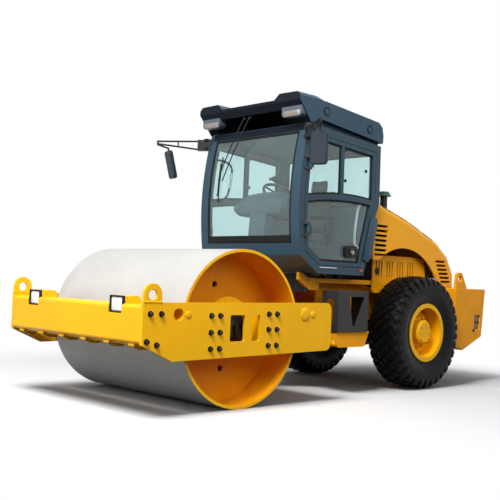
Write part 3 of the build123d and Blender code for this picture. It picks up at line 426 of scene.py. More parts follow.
headMoved = addNode(boltTree, "GeometryNodeTransform",
                    {"Geometry": head.outputs["Mesh"], "Translation": headPlace.outputs[0]})
crownMoved = addNode(boltTree, "GeometryNodeTransform",
                     {"Geometry": crown.outputs["Mesh"], "Translation": crownPlace.outputs[0]})
bolt = addNode(boltTree, "GeometryNodeJoinGeometry")
for item in (washer.outputs["Mesh"], headMoved.outputs["Geometry"], crownMoved.outputs["Geometry"]):
    boltTree.links.new(item, bolt.inputs["Geometry"])
way = addNode(boltTree, "GeometryNodeInputNamedAttribute", sockets={"Name": "way"}, data_type="FLOAT_VECTOR")
stand = addNode(boltTree, "FunctionNodeAlignRotationToVector", {"Vector": way.outputs["Attribute"]}, axis="Z")
spin = addNode(boltTree, "FunctionNodeRandomValue", {"Seed": given["Seed"]}, {"Max": 1.05}, data_type="FLOAT")
turnBy = addNode(boltTree, "FunctionNodeAxisAngleToRotation", {"Angle": spin.outputs["Value"]},
                 {"Axis": (0, 0, 1)})
turned = addNode(boltTree, "FunctionNodeRotateRotation",
                 {"Rotation": stand.outputs["Rotation"], "Rotate By": turnBy.outputs["Rotation"]},
                 rotation_space="LOCAL")
closeTree(boltTree, given, bolt.outputs["Geometry"], Rotation=turned.outputs["Rotation"])


def addBolts(name, spots, size, material, body):
    head, high, washer = size
    settings = {"Head Radius": head, "Head Height": high, "Washer Radius": washer, "Material": material}
    growPiece(name, boltTree, spotMesh(name, spots), settings, body)


# sizes are (head radius, head height, washer radius)
sidePlateBolts = {
    "places": [(1.16, 0.91), (1.04, 0.91), (1.19, 0.67), (1.08, 0.64)]
    + [(x, z) for x in (0.46, 0.35) for z in (0.895, 0.74, 0.59)]
    + [(x, z) for x in (-0.285, -0.40) for z in (0.91, 0.76, 0.605)],
    "y": 1.130, "size": (0.021, 0.02, 0.028),
}
scraperBolts = {"x": 1.115, "across": (-0.80, -0.27, 0.27, 0.80), "z": 0.629, "size": (0.02, 0.02, 0.03)}
frameBolts = {"place": (-4.345, 0.92, 0.685), "size": (0.013, 0.012, 0.02)}
wheelBolts = {
    "wheelNuts": {"circle": 0.2, "count": 12, "y": 0.878, "size": (0.019, 0.024, 0.024)},
    "hubBolts": {"circle": 0.105, "count": 8, "y": 1.0, "size": (0.009, 0.008, 0.012)},
}
spotList = [(spot, Vector((0, s, 0))) for s in sides.values()
            for spot in flat(sidePlateBolts["places"], s * sidePlateBolts["y"])]
addBolts("sidePlateBolts", spotList, sidePlateBolts["size"], blackOxide, "front_frame")
spotList = [(atDrum(scraperBolts["x"], y, scraperBolts["z"]), Vector((0, 0, -1)))
            for y in scraperBolts["across"]]
addBolts("scraperBolts", spotList, scraperBolts["size"], yellowEnamel, "front_frame")
spotList = [(*route([frameBolts["place"]], s), Vector((0, s, 0))) for s in sides.values()]
addBolts("frameBolts", spotList, frameBolts["size"], blackOxide, "rear_frame")
for side, s in sides.items():
    for name, row in wheelBolts.items():
        hub = Vector((station["axle"], s * row["y"], station["tyreRadius"]))
        angles = [2 * math.pi * i / row["count"] for i in range(row["count"])]
        spotList = [(hub + Vector((math.cos(a), 0, -s * math.sin(a))) * row["circle"], Vector((0, s, 0)))
                    for a in angles]
        addBolts(name + side.title(), spotList, row["size"], yellowEnamel, f"wheel_{side}")
print("bolts made")

# Tyres: a turned carcass with staggered diamond blocks and shoulder lugs
tyre = {"middle": 0.8425, "lugHalf": 0.035, "lugRound": 0.005, "steps": 96, "count": 34}
tread = {"Radius": station["tyreRadius"], "Rows": 5, "Around": tyre["count"], "Row Pitch": 0.073,
         "Block Length": 0.053, "Block Width": 0.060, "Block Height": 0.030, "Axle X": station["axle"],
         "Material": tyreRubber}
treadTree, given = newTree("diamondTread", {
    "Radius": ("Float", 0.68), "Middle": ("Float", 0.84), "Rows": ("Int", 7), "Around": ("Int", 42),
    "Row Pitch": ("Float", 0.058), "Block Height": ("Float", 0.03), "Block Length": ("Float", 0.047),
    "Block Width": ("Float", 0.045), "Crown Drop": ("Float", 0.9), "Axle X": ("Float", 0.0),
    "Material": ("Material", None),
})
# the sums that lay the blocks out: each has a name, what it does, and what it takes
treadSums = [
    ("total", "MULTIPLY", "Rows", "Around"),
    ("share", "DIVIDE", "index", "Around"),
    ("row", "FLOOR", "share"),
    ("odd", "MODULO", "row", 2.0),
    ("shift", "MULTIPLY", "odd", 0.5),
    ("column", "ADD", "index", "shift"),
    ("turns", "DIVIDE", "column", "Around"),
    ("angle", "MULTIPLY", "turns", 2 * math.pi),
    ("lastRow", "SUBTRACT", "Rows", 1.0),
    ("midRow", "MULTIPLY", "lastRow", 0.5),
    ("fromMid", "SUBTRACT", "row", "midRow"),
    ("across", "MULTIPLY", "fromMid", "Row Pitch"),
    ("squared", "MULTIPLY", "across", "across"),
    ("drop", "MULTIPLY", "squared", "Crown Drop"),
    ("halfBlock", "MULTIPLY", "Block Height", 0.5),
    ("crown", "SUBTRACT", "Radius", "drop"),
    ("reach", "SUBTRACT", "crown", "halfBlock"),
    ("cosine", "COSINE", "angle"),
    ("sine", "SINE", "angle"),
    ("lean", "MULTIPLY", "across", 1.7),
    ("x", "MULTIPLY_ADD", "reach", "cosine", "Axle X"),
    ("y", "ADD", "across", "Middle"),
    ("z", "MULTIPLY_ADD", "reach", "sine", "Radius"),
    ("sink", "MULTIPLY", "Block Height", -0.5),
]
sums = {socket.name: socket for socket in given if socket.name}
sums["index"] = addNode(treadTree, "GeometryNodeInputIndex").outputs[0]
for name, operation, *takes in treadSums:
    links = {n: sums[item] for n, item in enumerate(takes) if isinstance(item, str)}
    numbers = {n: item for n, item in enumerate(takes) if not isinstance(item, str)}
    sums[name] = addNode(treadTree, "ShaderNodeMath", links, numbers, operation=operation).outputs[0]
line = addNode(treadTree, "GeometryNodeMeshLine", {"Count": sums["total"]})
radial = addNode(treadTree, "ShaderNodeCombineXYZ",
                 {"X": sums["cosine"], "Y": sums["lean"], "Z": sums["sine"]})
place = addNode(treadTree, "ShaderNodeCombineXYZ", {"X": sums["x"], "Y": sums["y"], "Z": sums["z"]})
laid = addNode(treadTree, "GeometryNodeSetPosition",
               {"Geometry": line.outputs["Mesh"], "Position": place.outputs[0]})
stand = addNode(treadTree, "FunctionNodeAlignRotationToVector", {"Vector": radial.outputs[0]}, axis="Z")
level = addNode(treadTree, "FunctionNodeAlignRotationToVector", {"Rotation": stand.outputs["Rotation"]},
                {"Vector": (0, 1, 0)}, axis="Y", pivot_axis="Z")
block = addNode(treadTree, "GeometryNodeMeshCone", {"Depth": given["Block Height"]},
                {"Vertices": 4, "Radius Top": 0.8, "Radius Bottom": 1.0})
sinkPlace = addNode(treadTree, "ShaderNodeCombineXYZ", {"Z": sums["sink"]})
sunk = addNode(treadTree, "GeometryNodeTransform",
               {"Geometry": block.outputs["Mesh"], "Translation": sinkPlace.outputs[0]})
blockSize = addNode(treadTree, "ShaderNodeCombineXYZ",
                    {"X": given["Block Length"], "Y": given["Block Width"]}, {"Z": 1.0})
closeTree(treadTree, given, sunk.outputs["Geometry"], laid.outputs["Geometry"],
          Rotation=level.outputs["Rotation"], Scale=blockSize.outputs[0])

# half of the carcass from the bead outwards, as (radius, distance from its middle plane)
carcass = [
    (0.345, 0.168), (0.362, 0.186), (0.372, 0.190), (0.380, 0.186), (0.400, 0.190), (0.440, 0.207),
    (0.470, 0.216), (0.500, 0.2205), (0.545, 0.2225), (0.575, 0.2205), (0.583, 0.2180), (0.590, 0.2145),
    (0.610, 0.206), (0.628, 0.194), (0.639, 0.176), (0.647, 0.150), (0.652, 0.100), (0.655, 0.050),
    (0.656, 0.0),
]
carcassInside = [(0.320, -0.150), (0.600, -0.150), (0.600, 0.150), (0.320, 0.150)]
# shoulder lugs carry the tread over onto the side walls, in the same measures
lug = [(0.632, 0.158), (0.670, 0.160), (0.664, 0.184), (0.645, 0.207), (0.612, 0.2235), (0.566, 0.2265),
       (0.556, 0.215), (0.600, 0.200)]
for side, s in sides.items():
    body = f"wheel_{side}"
    hub = Vector((station["axle"], s * tyre["middle"], station["tyreRadius"]))
    bm = bmesh.new()
    loop = carcass + [(r, -d) for r, d in reversed(carcass[:-1])] + carcassInside
    addTurned(bm, loop + loop[:1], hub, (0, 1, 0), steps=tyre["steps"])
    piece = addPiece(f"tyreCarcass{side.title()}", bm, tyreRubber, body)
    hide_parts(f"tyre_{side}")
    bm = bmesh.new()
    for n in range(2 * tyre["count"]):
        angle = math.pi * (n - n % 2 + 1) / tyre["count"]
        outward = Vector((math.cos(angle), 0, math.sin(angle)))
        along = Vector((-math.sin(angle), 0, math.cos(angle)))
        foot = hub - along * tyre["lugHalf"]
        face = [foot + outward * r + Vector((0, d if n % 2 else -d, 0)) for r, d in lug]
        addPlate(bm, face, along * 2 * tyre["lugHalf"], bevel=tyre["lugRound"])
    addPiece(f"tyreLugs{side.title()}", bm, tyreRubber, body)
    growPiece(f"tyreTread{side.title()}", treadTree, bpy.data.meshes.new("tread"),
              {**tread, "Middle": s * tyre["middle"]}, body)
print("tyres made")

# Front lamps: black bezels round the lenses
frontLamp = {"y": 0.710, "width": 0.205, "z": (0.900, 1.055), "face": 1.198, "proud": 0.030, "rim": 0.015,
             "lensBack": 0.002, "lensShy": 0.010}
bezel, lens = bmesh.new(), bmesh.new()
for s in sides.values():
    y0 = s * frontLamp["y"] - frontLamp["width"] / 2
    y1 = s * frontLamp["y"] + frontLamp["width"] / 2
    (z0, z1), rim = frontLamp["z"], frontLamp["rim"]
    back, front = frontLamp["face"], frontLamp["face"] + frontLamp["proud"]
    for a, b, c, d in rimBars(y0, y1, z0, z1, rim):
        addBox(bezel, atDrum(back, a, c), atDrum(front, b, d), bevel=0.004)
    addBox(lens, atDrum(back - frontLamp["lensBack"], y0 + rim, z0 + rim),
           atDrum(front - frontLamp["lensShy"], y1 - rim, z1 - rim), bevel=0.012)
addPiece("frontLampBezels", bezel, blackPlastic, "front_frame")
addPiece("frontLampLenses", lens, clearLens, "front_frame")

# Caps in the rear access holes of the side plates
holeCap = {"place": (-0.81, 1.130, 0.905),
           "profile": [(0, -0.01), (0.056, -0.01), (0.056, 0.0), (0.066, 0.0), (0.066, 0.005), (0.060, 0.009),
                       (0.03, 0.0105), (0, 0.011)]}
bm = bmesh.new()
for s in sides.values():
    addTurned(bm, holeCap["profile"], *route([holeCap["place"]], s), (0, s, 0), steps=40)
addPiece("plateHoleCaps", bm, yellowEnamel, "front_frame")
print("front frame dressed")


# Printed borders on the glass
def addBorder(bm, node, facing, width, lift):
    source = bmesh.new()
    source.from_mesh(cad[node].data)
    bmesh.ops.remove_doubles(source, verts=source.verts, dist=1e-5)
    facing = Vector(facing)
    keep = {f for f in source.faces if f.normal.dot(facing) > 0.8}
    rims = [e for e in source.edges if sum(f in keep for f in e.link_faces) == 1]
    inward = {}
    for e in rims:
        face = next(f for f in e.link_faces if f in keep)
        way = face.normal.cross((e.verts[1].co - e.verts[0].co).normalized())
        if way.dot(face.calc_center_median() - e.verts[0].co) < 0:
            way.negate()
        for v in e.verts:
            inward.setdefault(v, []).append(way)
    made = {}
    for v, ways in inward.items():
        total = sum(ways, Vector()).normalized()
        reach = width / max(0.4, total.dot(ways[0]))
        made[v] = (bm.verts.new(v.co + facing * lift), bm.verts.new(v.co + facing * lift + total * reach))
    strips = [bm.faces.new((made[a][0], made[b][0], made[b][1], made[a][1]))
              for a, b in (e.verts for e in rims)]
    bmesh.ops.recalc_face_normals(bm, faces=strips)
    bmesh.ops.solidify(bm, geom=strips, thickness=0.002)
    source.free()


glassBorder = {"screen": 0.030, "door": 0.022, "rear": 0.030, "lift": 0.0012}
bm = bmesh.new()
addBorder(bm, "windscreen", (1, 0, 0), glassBorder["screen"], glassBorder["lift"])
addBorder(bm, "rear_window", (-1, 0, 0), glassBorder["rear"], glassBorder["lift"])
addPiece("screenBorders", bm, sealRubber, "rear_frame")
for side, s in sides.items():
    bm = bmesh.new()
    addBorder(bm, f"door_{side}_glass", (0, s, 0), glassBorder["door"], glassBorder["lift"])
    addPiece(f"doorBorders{side.title()}", bm, sealRubber, f"door_{side}")

# Door furniture: grab rail behind the glass, pane buttons, latch ring and pull
doorFittings = {
    "rail": [(-2.118, 0.757, 2.185), (-2.115, 0.725, 2.15), (-2.098, 0.712, 2.08), (-2.055, 0.712, 1.75),
             (-2.065, 0.725, 1.67), (-2.105, 0.757, 1.645)],
    "buttons": [(-2.108, 2.802), (-2.148, 2.549), (-1.781, 2.40), (-1.779, 2.758)], "buttonY": 0.780,
    "button": [(0, -0.004), (0.017, -0.004), (0.019, 0.004), (0.019, 0.010), (0.014, 0.015), (0, 0.016)],
    "latch": (-1.889, 1.599), "dishY": 0.822, "ringY": 0.823, "pullY": (0.827, 0.835),
    "dish": [(0, 0.0), (0.047, 0.0), (0.047, 0.010), (0.042, 0.016), (0.036, 0.017), (0.034, 0.008),
             (0, 0.006)],
    "ring": [(0.026, 0.006), (0.030, 0.012), (0.034, 0.006), (0.030, 0.004), (0.026, 0.006)],
}
for side, s in sides.items():
    body, end = f"door_{side}", side.title()
    bm = bmesh.new()
    addRod(bm, route(doorFittings["rail"], s), 0.015)
    addPiece("doorGrabRail" + end, bm, whiteGrip, body)
    bm = bmesh.new()
    for spot in flat(doorFittings["buttons"], s * doorFittings["buttonY"]):
        addTurned(bm, doorFittings["button"], spot, (0, s, 0), steps=20)
    x, z = doorFittings["latch"]
    addTurned(bm, doorFittings["dish"], atDrum(x, s * doorFittings["dishY"], z), (0, s, 0), steps=36)
    addPiece("doorButtons" + end, bm, blackPlastic, body)
    bm = bmesh.new()
    addTurned(bm, doorFittings["ring"], atDrum(x, s * doorFittings["ringY"], z), (0, s, 0), steps=36)
    y0, y1 = doorFittings["pullY"]
    addBox(bm, atDrum(x - 0.022, s * y0, z - 0.005), atDrum(x + 0.022, s * y1, z + 0.005), bevel=0.002)
    addPiece("latchPull" + end, bm, whiteGrip, body)
print("doors dressed")

# Windscreen: the arc of its outer face in side view, through three points
screenArc = [(-1.060, 1.520), (-1.012, 2.150), (-1.135, 2.965)]


def screenX(z):
    (ax, az), (bx, bz), (cx, cz) = screenArc
    d = 2 * (ax * (bz - cz) + bx * (cz - az) + cx * (az - bz))
    sums = [x * x + y * y for x, y in screenArc]
    midX = (sums[0] * (bz - cz) + sums[1] * (cz - az) + sums[2] * (az - bz)) / d
    midZ = (sums[0] * (cx - bx) + sums[1] * (ax - cx) + sums[2] * (bx - ax)) / d
    return midX + math.sqrt((ax - midX) ** 2 + (az - midZ) ** 2 - (z - midZ) ** 2)


# Wiper: two parallel arms from the header to an upright blade at the right-hand post
wiper = {
    "pivots": [(-1.030, -0.119, 3.086), (-1.030, -0.030, 3.086)], "armStart": 0.012, "armBow": 0.03,
    "pivot": [(0, -0.03), (0.018, -0.03), (0.018, 0.012), (0.010, 0.02), (0, 0.02)],
    "blade": (-0.50, 2.125, 2.671), "grip": 2.45, "gripStand": 0.026, "gripSide": (0.01, 0.05),
    "gripDrop": 0.07, "rubber": 0.004, "spine": 0.018, "clip": (0.026, 0.009, 0.012),
}
bm = bmesh.new()
y, low, high = wiper["blade"]
for n, start in enumerate(wiper["pivots"]):
    addTurned(bm, wiper["pivot"], atDrum(*start), (1, 0, -0.6), steps=16)
    offset, apart = wiper["gripSide"]
    foot = (screenX(wiper["grip"]) + wiper["gripStand"], y + offset + apart * n,
            wiper["grip"] - wiper["gripDrop"] * n)
    mid = [(start[i] + foot[i]) / 2 for i in range(3)]
    arm = [(start[0] + wiper["armStart"], *start[1:]), (mid[0] + wiper["armBow"], *mid[1:]), foot]
    addRod(bm, route(arm), 0.007)
heights = [low + (high - low) * i / 6 for i in range(7)]
addRod(bm, [atDrum(screenX(z) + wiper["rubber"], y, z) for z in heights], 0.008)
addRod(bm, [atDrum(screenX(z) + wiper["spine"], y, z) for z in heights[1:-1]], 0.007)
deep, wide, tall = wiper["clip"]
for z in heights[1::2]:
    addBox(bm, atDrum(screenX(z), y - wide, z - tall),
           atDrum(screenX(z) + deep, y + wide, z + tall), bevel=0.003)
addPiece("screenWiper", bm, blackPlastic, "rear_frame")

# Dark bands across the windscreen: one printed along its foot, and one of painted shade on the header above
# it
screenBands = {
    "screenFootBand": {"span": (1.664, 1.735), "half": 0.665, "finish": sealRubber, "slot": "buffer_rubber"},
    "screenHeaderShade": {"span": (2.886, 2.960), "half": 0.742, "finish": visorShadeMoulding,
                       "slot": "roof_moulding"},
}
bandFaces = {"outer": 0.0022, "inner": 0.0010}
for name, band in screenBands.items():
    bm = bmesh.new()
    low, high = band["span"]
    heights = [low + (high - low) * i / 4 for i in range(5)]
    face = [(screenX(z) + bandFaces["outer"], z) for z in heights]
    face += [(screenX(z) + bandFaces["inner"], z) for z in reversed(heights)]
    addPlate(bm, flat(face, -band["half"]), (0, 2 * band["half"], 0))
    addPiece(name, bm, band["finish"], "rear_frame")

# Cab trim: corner panel, marker lamp, sill strip, roof caps and lenses
cabTrim = {
    "wall": 0.800, "sill": (-1.661, -1.374, 1.398), "marker": (-2.081, 1.391),
    "corner": [(-2.252, 2.036), (-2.353, 2.014), (-2.357, 1.947), (-2.258, 1.547), (-2.181, 1.485),
               (-2.112, 1.515)],
    "cornerY": 0.8005, "cornerThick": 0.022,
    "caps": [(-1.384, 3.123), (-2.151, 3.037)], "capY": 0.820,
    "cap": [(0, 0.004), (0.030, 0.004), (0.033, 0.0015), (0.036, 0.0015), (0.038, 0.006), (0.043, 0.006),
            (0.046, 0.0), (0.046, -0.004)],
    "capRing": [(0.040, -0.002), (0.040, 0.0075), (0.049, 0.0075), (0.049, -0.002), (0.040, -0.002)],
    "lens": [(-0.994, 0.535, 3.028), (-0.994, 0.779, 3.028), (-0.985, 0.779, 3.085), (-0.985, 0.535, 3.085)],
    "lensThick": 0.012,
}
for side, s in sides.items():
    end, wall = side.title(), cabTrim["wall"]
    bm = bmesh.new()
    addPlate(bm, flat(cabTrim["corner"], s * cabTrim["cornerY"]),
             (0, s * cabTrim["cornerThick"], 0), bevel=0.007)
    addPiece("cabCornerPanel" + end, bm, cabEnamel, "rear_frame")
    bm = bmesh.new()
    x, z = cabTrim["marker"]
    addBox(bm, atDrum(x - 0.028, s * wall, z - 0.013),
           atDrum(x + 0.028, s * (wall + 0.016), z + 0.013), bevel=0.004)
    addPiece("markerLamp" + end, bm, redLens, "rear_frame")
    bm = bmesh.new()
    x0, x1, z = cabTrim["sill"]
    addBox(bm, atDrum(x0, s * wall, z), atDrum(x1, s * (wall + 0.008), z + 0.013), bevel=0.003)
    addPiece("sillStrip" + end, bm, zinc, "rear_frame")
    for name, profile, material, slot in (("roofCaps", cabTrim["cap"], roofMoulding, "roof_moulding"),
                                          ("roofCapRings", cabTrim["capRing"], sealRubber, "buffer_rubber")):
        bm = bmesh.new()
        for spot in flat(cabTrim["caps"], s * cabTrim["capY"]):
            addTurned(bm, profile, spot, (0, s, 0), steps=40)
        addPiece(name + end, bm, material, "rear_frame")
bm = bmesh.new()
for s in sides.values():
    addPlate(bm, route(cabTrim["lens"], s), (-cabTrim["lensThick"], 0, 0), bevel=0.004)
addPiece("roofLampLenses", bm, smokedLens, "rear_frame")

# Silvered plates on the rear of the mirrors, the right one tilted as its housing is
mirrorPlace = {"top": (-0.815, 1.235, 2.778), "half": 0.1725, "width": 0.166, "height": 0.318, "back": 0.0245,
               "turn": 18, "lean": 14, "hinge": 0.008, "corner": 0.03, "thick": 0.003}
bm = bmesh.new()
for s in sides.values():
    top = route([mirrorPlace["top"]], s)[0]
    a = math.radians(mirrorPlace["turn"])
    across = Vector((-math.sin(a), math.cos(a) * s, 0))
    facing = Vector((math.cos(a), math.sin(a) * s, 0))
    centre = top - Vector((0, 0, mirrorPlace["half"])) - facing * mirrorPlace["back"]
    corner = mirrorPlace["corner"]
    w, h = mirrorPlace["width"] / 2 - corner, mirrorPlace["height"] / 2 - corner
    tilt = Matrix.Rotation(math.radians(-mirrorPlace["lean"] if s < 0 else 0), 3, across)
    hinge = top - Vector((0, 0, mirrorPlace["hinge"]))
    outline = []
    for qx, qz, start in ((1, 1, 0), (-1, 1, 90), (-1, -1, 180), (1, -1, 270)):
        for step in range(start, start + 91, 15):
            t = math.radians(step)
            spot = centre + across * (qx * w + corner * math.cos(t))
            spot += Vector((0, 0, qz * h + corner * math.sin(t)))
            outline.append(hinge + tilt @ (spot - hinge))
    addPlate(bm, outline, tilt @ facing * mirrorPlace["thick"])
addPiece("mirrorGlasses", bm, mirrorGlass, "rear_frame")
print("cab dressed")

# Seat: three padded cushions with sewn channels, brackets, arm rests and a grip
seatPads = {
    "cushion": {"corners": [(-2.135, 1.705), (-1.665, 1.705), (-1.665, 1.805), (-2.135, 1.815)],
                "half": 0.235, "grooves": (-0.105, 0.105)},
    "back": {"corners": [(-2.068, 1.848), (-2.182, 2.318), (-2.258, 2.300), (-2.160, 1.830)],
             "half": 0.220, "grooves": (-0.10, 0.10)},
    "head": {"corners": [(-2.186, 2.346), (-2.210, 2.496), (-2.262, 2.486), (-2.252, 2.328)],
             "half": 0.125, "grooves": ()},
}
padding = {"round": 0.026, "voxel": 0.011, "swell": 0.012, "pressure": 4.0, "frames": 20, "groove": 0.007,
           "grooveHalf": 0.016}


def seatPad(name, shape):
    bm = bmesh.new()
    addPlate(bm, flat(shape["corners"], -shape["half"]), (0, 2 * shape["half"], 0), bevel=padding["round"])
    bmesh.ops.recalc_face_normals(bm, faces=bm.faces)
    mesh = bpy.data.meshes.new(name)
    bm.to_mesh(mesh)
    bm.free()
    pad = bpy.data.objects.new(name, mesh)
    scene.collection.objects.link(pad)
    pad.modifiers.new("remesh", "REMESH").voxel_size = padding["voxel"]
    mesh = bake(pad)
    rest = [v.co.copy() for v in mesh.vertices]
    cloth = pad.modifiers.new("swell", "CLOTH")
    cloth.settings.use_pressure = True
    cloth.settings.uniform_pressure_force = padding["pressure"]
    cloth.settings.effector_weights.gravity = 0
    cloth.point_cache.frame_end = padding["frames"]
    for number in range(1, padding["frames"] + 1):
        scene.frame_set(number)
    mesh = bake(pad)
    scene.frame_set(1)
    for vertex, start in zip(mesh.vertices, rest):
        moved = vertex.co - start
        if moved.length > padding["swell"]:
            vertex.co = start + moved.normalized() * padding["swell"]
    # sewn channels run down the cushions, cut after the remesh
    centre = sum((v.co for v in mesh.vertices), Vector()) / len(mesh.vertices)
    for vertex in mesh.vertices:
        for groove in shape["grooves"]:
            near = abs(vertex.co.y - groove) / padding["grooveHalf"]
            if near < 1:
                inward = centre - vertex.co
                inward.y = 0
                vertex.co += inward.normalized() * padding["groove"] * (1 + math.cos(math.pi * near)) / 2
    for face in mesh.polygons:
        face.use_smooth = True
    mesh.materials.append(seatVinyl)
    smooth = pad.modifiers.new("smooth", "SUBSURF")
    smooth.levels = smooth.render_levels = 1
    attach(pad, "rear_frame")
    return pad


pads = [seatPad(f"seat{part.title()}", shape) for part, shape in seatPads.items()]
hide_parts("seat")
seatMetal = {
    "bracket": [(-2.19, 1.70), (-2.02, 1.70), (-2.08, 1.80), (-2.15, 2.02), (-2.20, 2.0)], "bracketY": 0.262,
    "bracketThick": 0.012, "pivot": (-2.125, 0.272, 1.80),
    "pivotProfile": [(0, 0), (0.034, 0), (0.034, 0.012), (0.026, 0.018), (0, 0.018)],
    "headPost": [(-2.224, 0.07, 2.27), (-2.226, 0.07, 2.36)],
    "rest": [(-2.06, 0.275, 1.975), (-1.76, 0.345, 2.020)],
    "restArm": [(-2.15, 0.283, 1.99), (-2.08, 0.30, 1.985), (-2.0, 0.31, 1.985)],
    "grip": (-1.80, -0.310, 2.018),
    "gripProfile": [(0, 0), (0.030, 0), (0.026, 0.02), (0.012, 0.045), (0.010, 0.10), (0.020, 0.12),
                    (0.024, 0.165), (0.016, 0.195), (0, 0.20)],
}
brackets, rests = bmesh.new(), bmesh.new()
for s in sides.values():
    addPlate(brackets, flat(seatMetal["bracket"], s * seatMetal["bracketY"]),
             (0, s * seatMetal["bracketThick"], 0), bevel=0.004)
    addTurned(brackets, seatMetal["pivotProfile"], *route([seatMetal["pivot"]], s), (0, s, 0), steps=24)
    addRod(brackets, route(seatMetal["headPost"], s), 0.008)
    addBox(rests, *route(seatMetal["rest"], s), bevel=0.016)
    addRod(rests, route(seatMetal["restArm"], s), 0.012)
addTurned(rests, seatMetal["gripProfile"], atDrum(*seatMetal["grip"]), (0.1, 0, 1), steps=20)
addPiece("seatBrackets", brackets, blackPlastic, "rear_frame")
addPiece("seatArmRests", rests, blackPlastic, "rear_frame")
print("seat made")

# Console: display, dials and switches on its sloping face; plates are (half width, half height)
consoleFace = {
    "place": (-1.4490, 0, 2.142), "way": (-0.965, 0, -0.263), "display": (0.095, 0.055),
    "glass": (0.082, 0.043), "glassAt": 0.0145, "dials": (-0.17, 0.17), "switches": 8,
    "switch": (0.013, 0.011), "switchFrom": -0.13, "switchPitch": 0.037, "switchDrop": 0.078,
    "dial": [(0, 0), (0.048, 0), (0.048, 0.012), (0.042, 0.016), (0.040, 0.008), (0, 0.008)],
    "dialGlass": [(0, 0.0085), (0.039, 0.0085), (0.039, 0.0095), (0, 0.0095)],
}
face, back = atDrum(*consoleFace["place"]), Vector(consoleFace["way"])
rise = Vector((back.z, 0, -back.x))


def consolePlate(centre, halves):
    w, h = halves
    return [centre + Vector((0, y, 0)) + rise * z for y, z in ((-w, -h), (w, -h), (w, h), (-w, h))]


bm, glass = bmesh.new(), bmesh.new()
addPlate(bm, consolePlate(face, consoleFace["display"]), back * 0.014, bevel=0.004)
addPlate(glass, consolePlate(face + back * consoleFace["glassAt"], consoleFace["glass"]), back * 0.0012)
for y in consoleFace["dials"]:
    addTurned(bm, consoleFace["dial"], face + Vector((0, y, 0)), back)
    addTurned(glass, consoleFace["dialGlass"], face + Vector((0, y, 0)), back)
for i in range(consoleFace["switches"]):
    y = consoleFace["switchFrom"] + consoleFace["switchPitch"] * i
    spot = face + Vector((0, y, 0)) - rise * consoleFace["switchDrop"]
    addPlate(bm, consolePlate(spot, consoleFace["switch"]), back * 0.010, bevel=0.003)
addPiece("consoleInstruments", bm, blackPlastic, "rear_frame")
addPiece("consoleGlass", glass, clearLens, "rear_frame")

# Lever, pedals, and the steering column's boot, cap and spinner knob
controls = {
    "lever": [(-1.395, 0.10, 2.235), (-1.400, 0.085, 2.30), (-1.426, 0.03, 2.385), (-1.426, 0.0, 2.415)],
    "leverTop": (-1.426, 0, 2.426),
    "leverKnob": [(0, -0.032), (0.016, -0.028), (0.028, -0.016), (0.032, 0), (0.028, 0.016), (0.016, 0.028),
                  (0, 0.032)],
    "pedals": (-0.19, 0.19), "pedalHalf": 0.04, "pedalArm": [(-1.33, 1.40), (-1.32, 1.46), (-1.34, 1.52)],
    "pedalFoot": (-1.325, 1.49), "pedalTop": (-1.385, 1.585), "pedalThick": (-0.011, 0, -0.007),
    "hub": (-1.535, 0, 2.250), "column": (-0.5, 0, 0.866), "spinner": (-0.13423, 0.13, -0.0775),
    "boot": [(0.060, -0.16), (0.052, -0.15), (0.058, -0.135), (0.048, -0.12), (0.054, -0.105), (0.044, -0.09),
             (0.050, -0.075), (0.040, -0.060), (0.040, -0.04)],
    "hubCap": [(0.049, 0.006), (0.046, 0.018), (0.030, 0.024), (0, 0.025)],
    "spinnerKnob": [(0.010, 0.0), (0.010, 0.022), (0.022, 0.028), (0.027, 0.045), (0.024, 0.065),
                    (0.012, 0.074), (0, 0.075)],
}
bm = bmesh.new()
addRod(bm, route(controls["lever"]), 0.009)
addTurned(bm, controls["leverKnob"], atDrum(*controls["leverTop"]), (0, 0, 1), steps=24)
for y in controls["pedals"]:
    addRod(bm, flat(controls["pedalArm"], y), 0.011)
    (x0, z0), (x1, z1), half = controls["pedalFoot"], controls["pedalTop"], controls["pedalHalf"]
    pedal = [(x0, y - half, z0), (x0, y + half, z0), (x1, y + half, z1), (x1, y - half, z1)]
    addPlate(bm, route(pedal), controls["pedalThick"], bevel=0.003)
hub, column = atDrum(*controls["hub"]), controls["column"]
addTurned(bm, controls["boot"], hub, column, steps=24)
addTurned(bm, controls["hubCap"], hub, column)
addTurned(bm, controls["spinnerKnob"], hub + Vector(controls["spinner"]), column, steps=24)
addPiece("cabControls", bm, blackPlastic, "rear_frame")

# Grab rails inside the front posts, with a pale sleeve
postRail = {
    "rail": [(-1.105, 0.705, 2.655), (-1.18, 0.67, 2.672), (-1.325, 0.625, 2.62), (-1.325, 0.62, 2.50),
             (-1.295, 0.62, 2.33), (-1.272, 0.635, 2.215), (-1.17, 0.67, 2.168), (-1.095, 0.705, 2.185)],
    "sleeve": [(-1.324, 0.6225, 2.52), (-1.312, 0.620, 2.43), (-1.297, 0.6215, 2.335)],
    "foot": [(0, -0.004), (0.026, -0.004), (0.026, 0.006), (0.018, 0.012), (0, 0.012)],
}
bm, grip = bmesh.new(), bmesh.new()
for s in sides.values():
    rail = route(postRail["rail"], s)
    addRod(bm, rail, 0.013)
    addRod(grip, route(postRail["sleeve"], s), 0.017)
    for end in (rail[0], rail[-1]):
        addTurned(bm, postRail["foot"], end, (-1, -0.4 * s, 0), steps=20)
addPiece("postGrabRails", bm, blackPlastic, "rear_frame")
addPiece("postGrabSleeves", grip, whiteGrip, "rear_frame")
print("cab inside dressed")

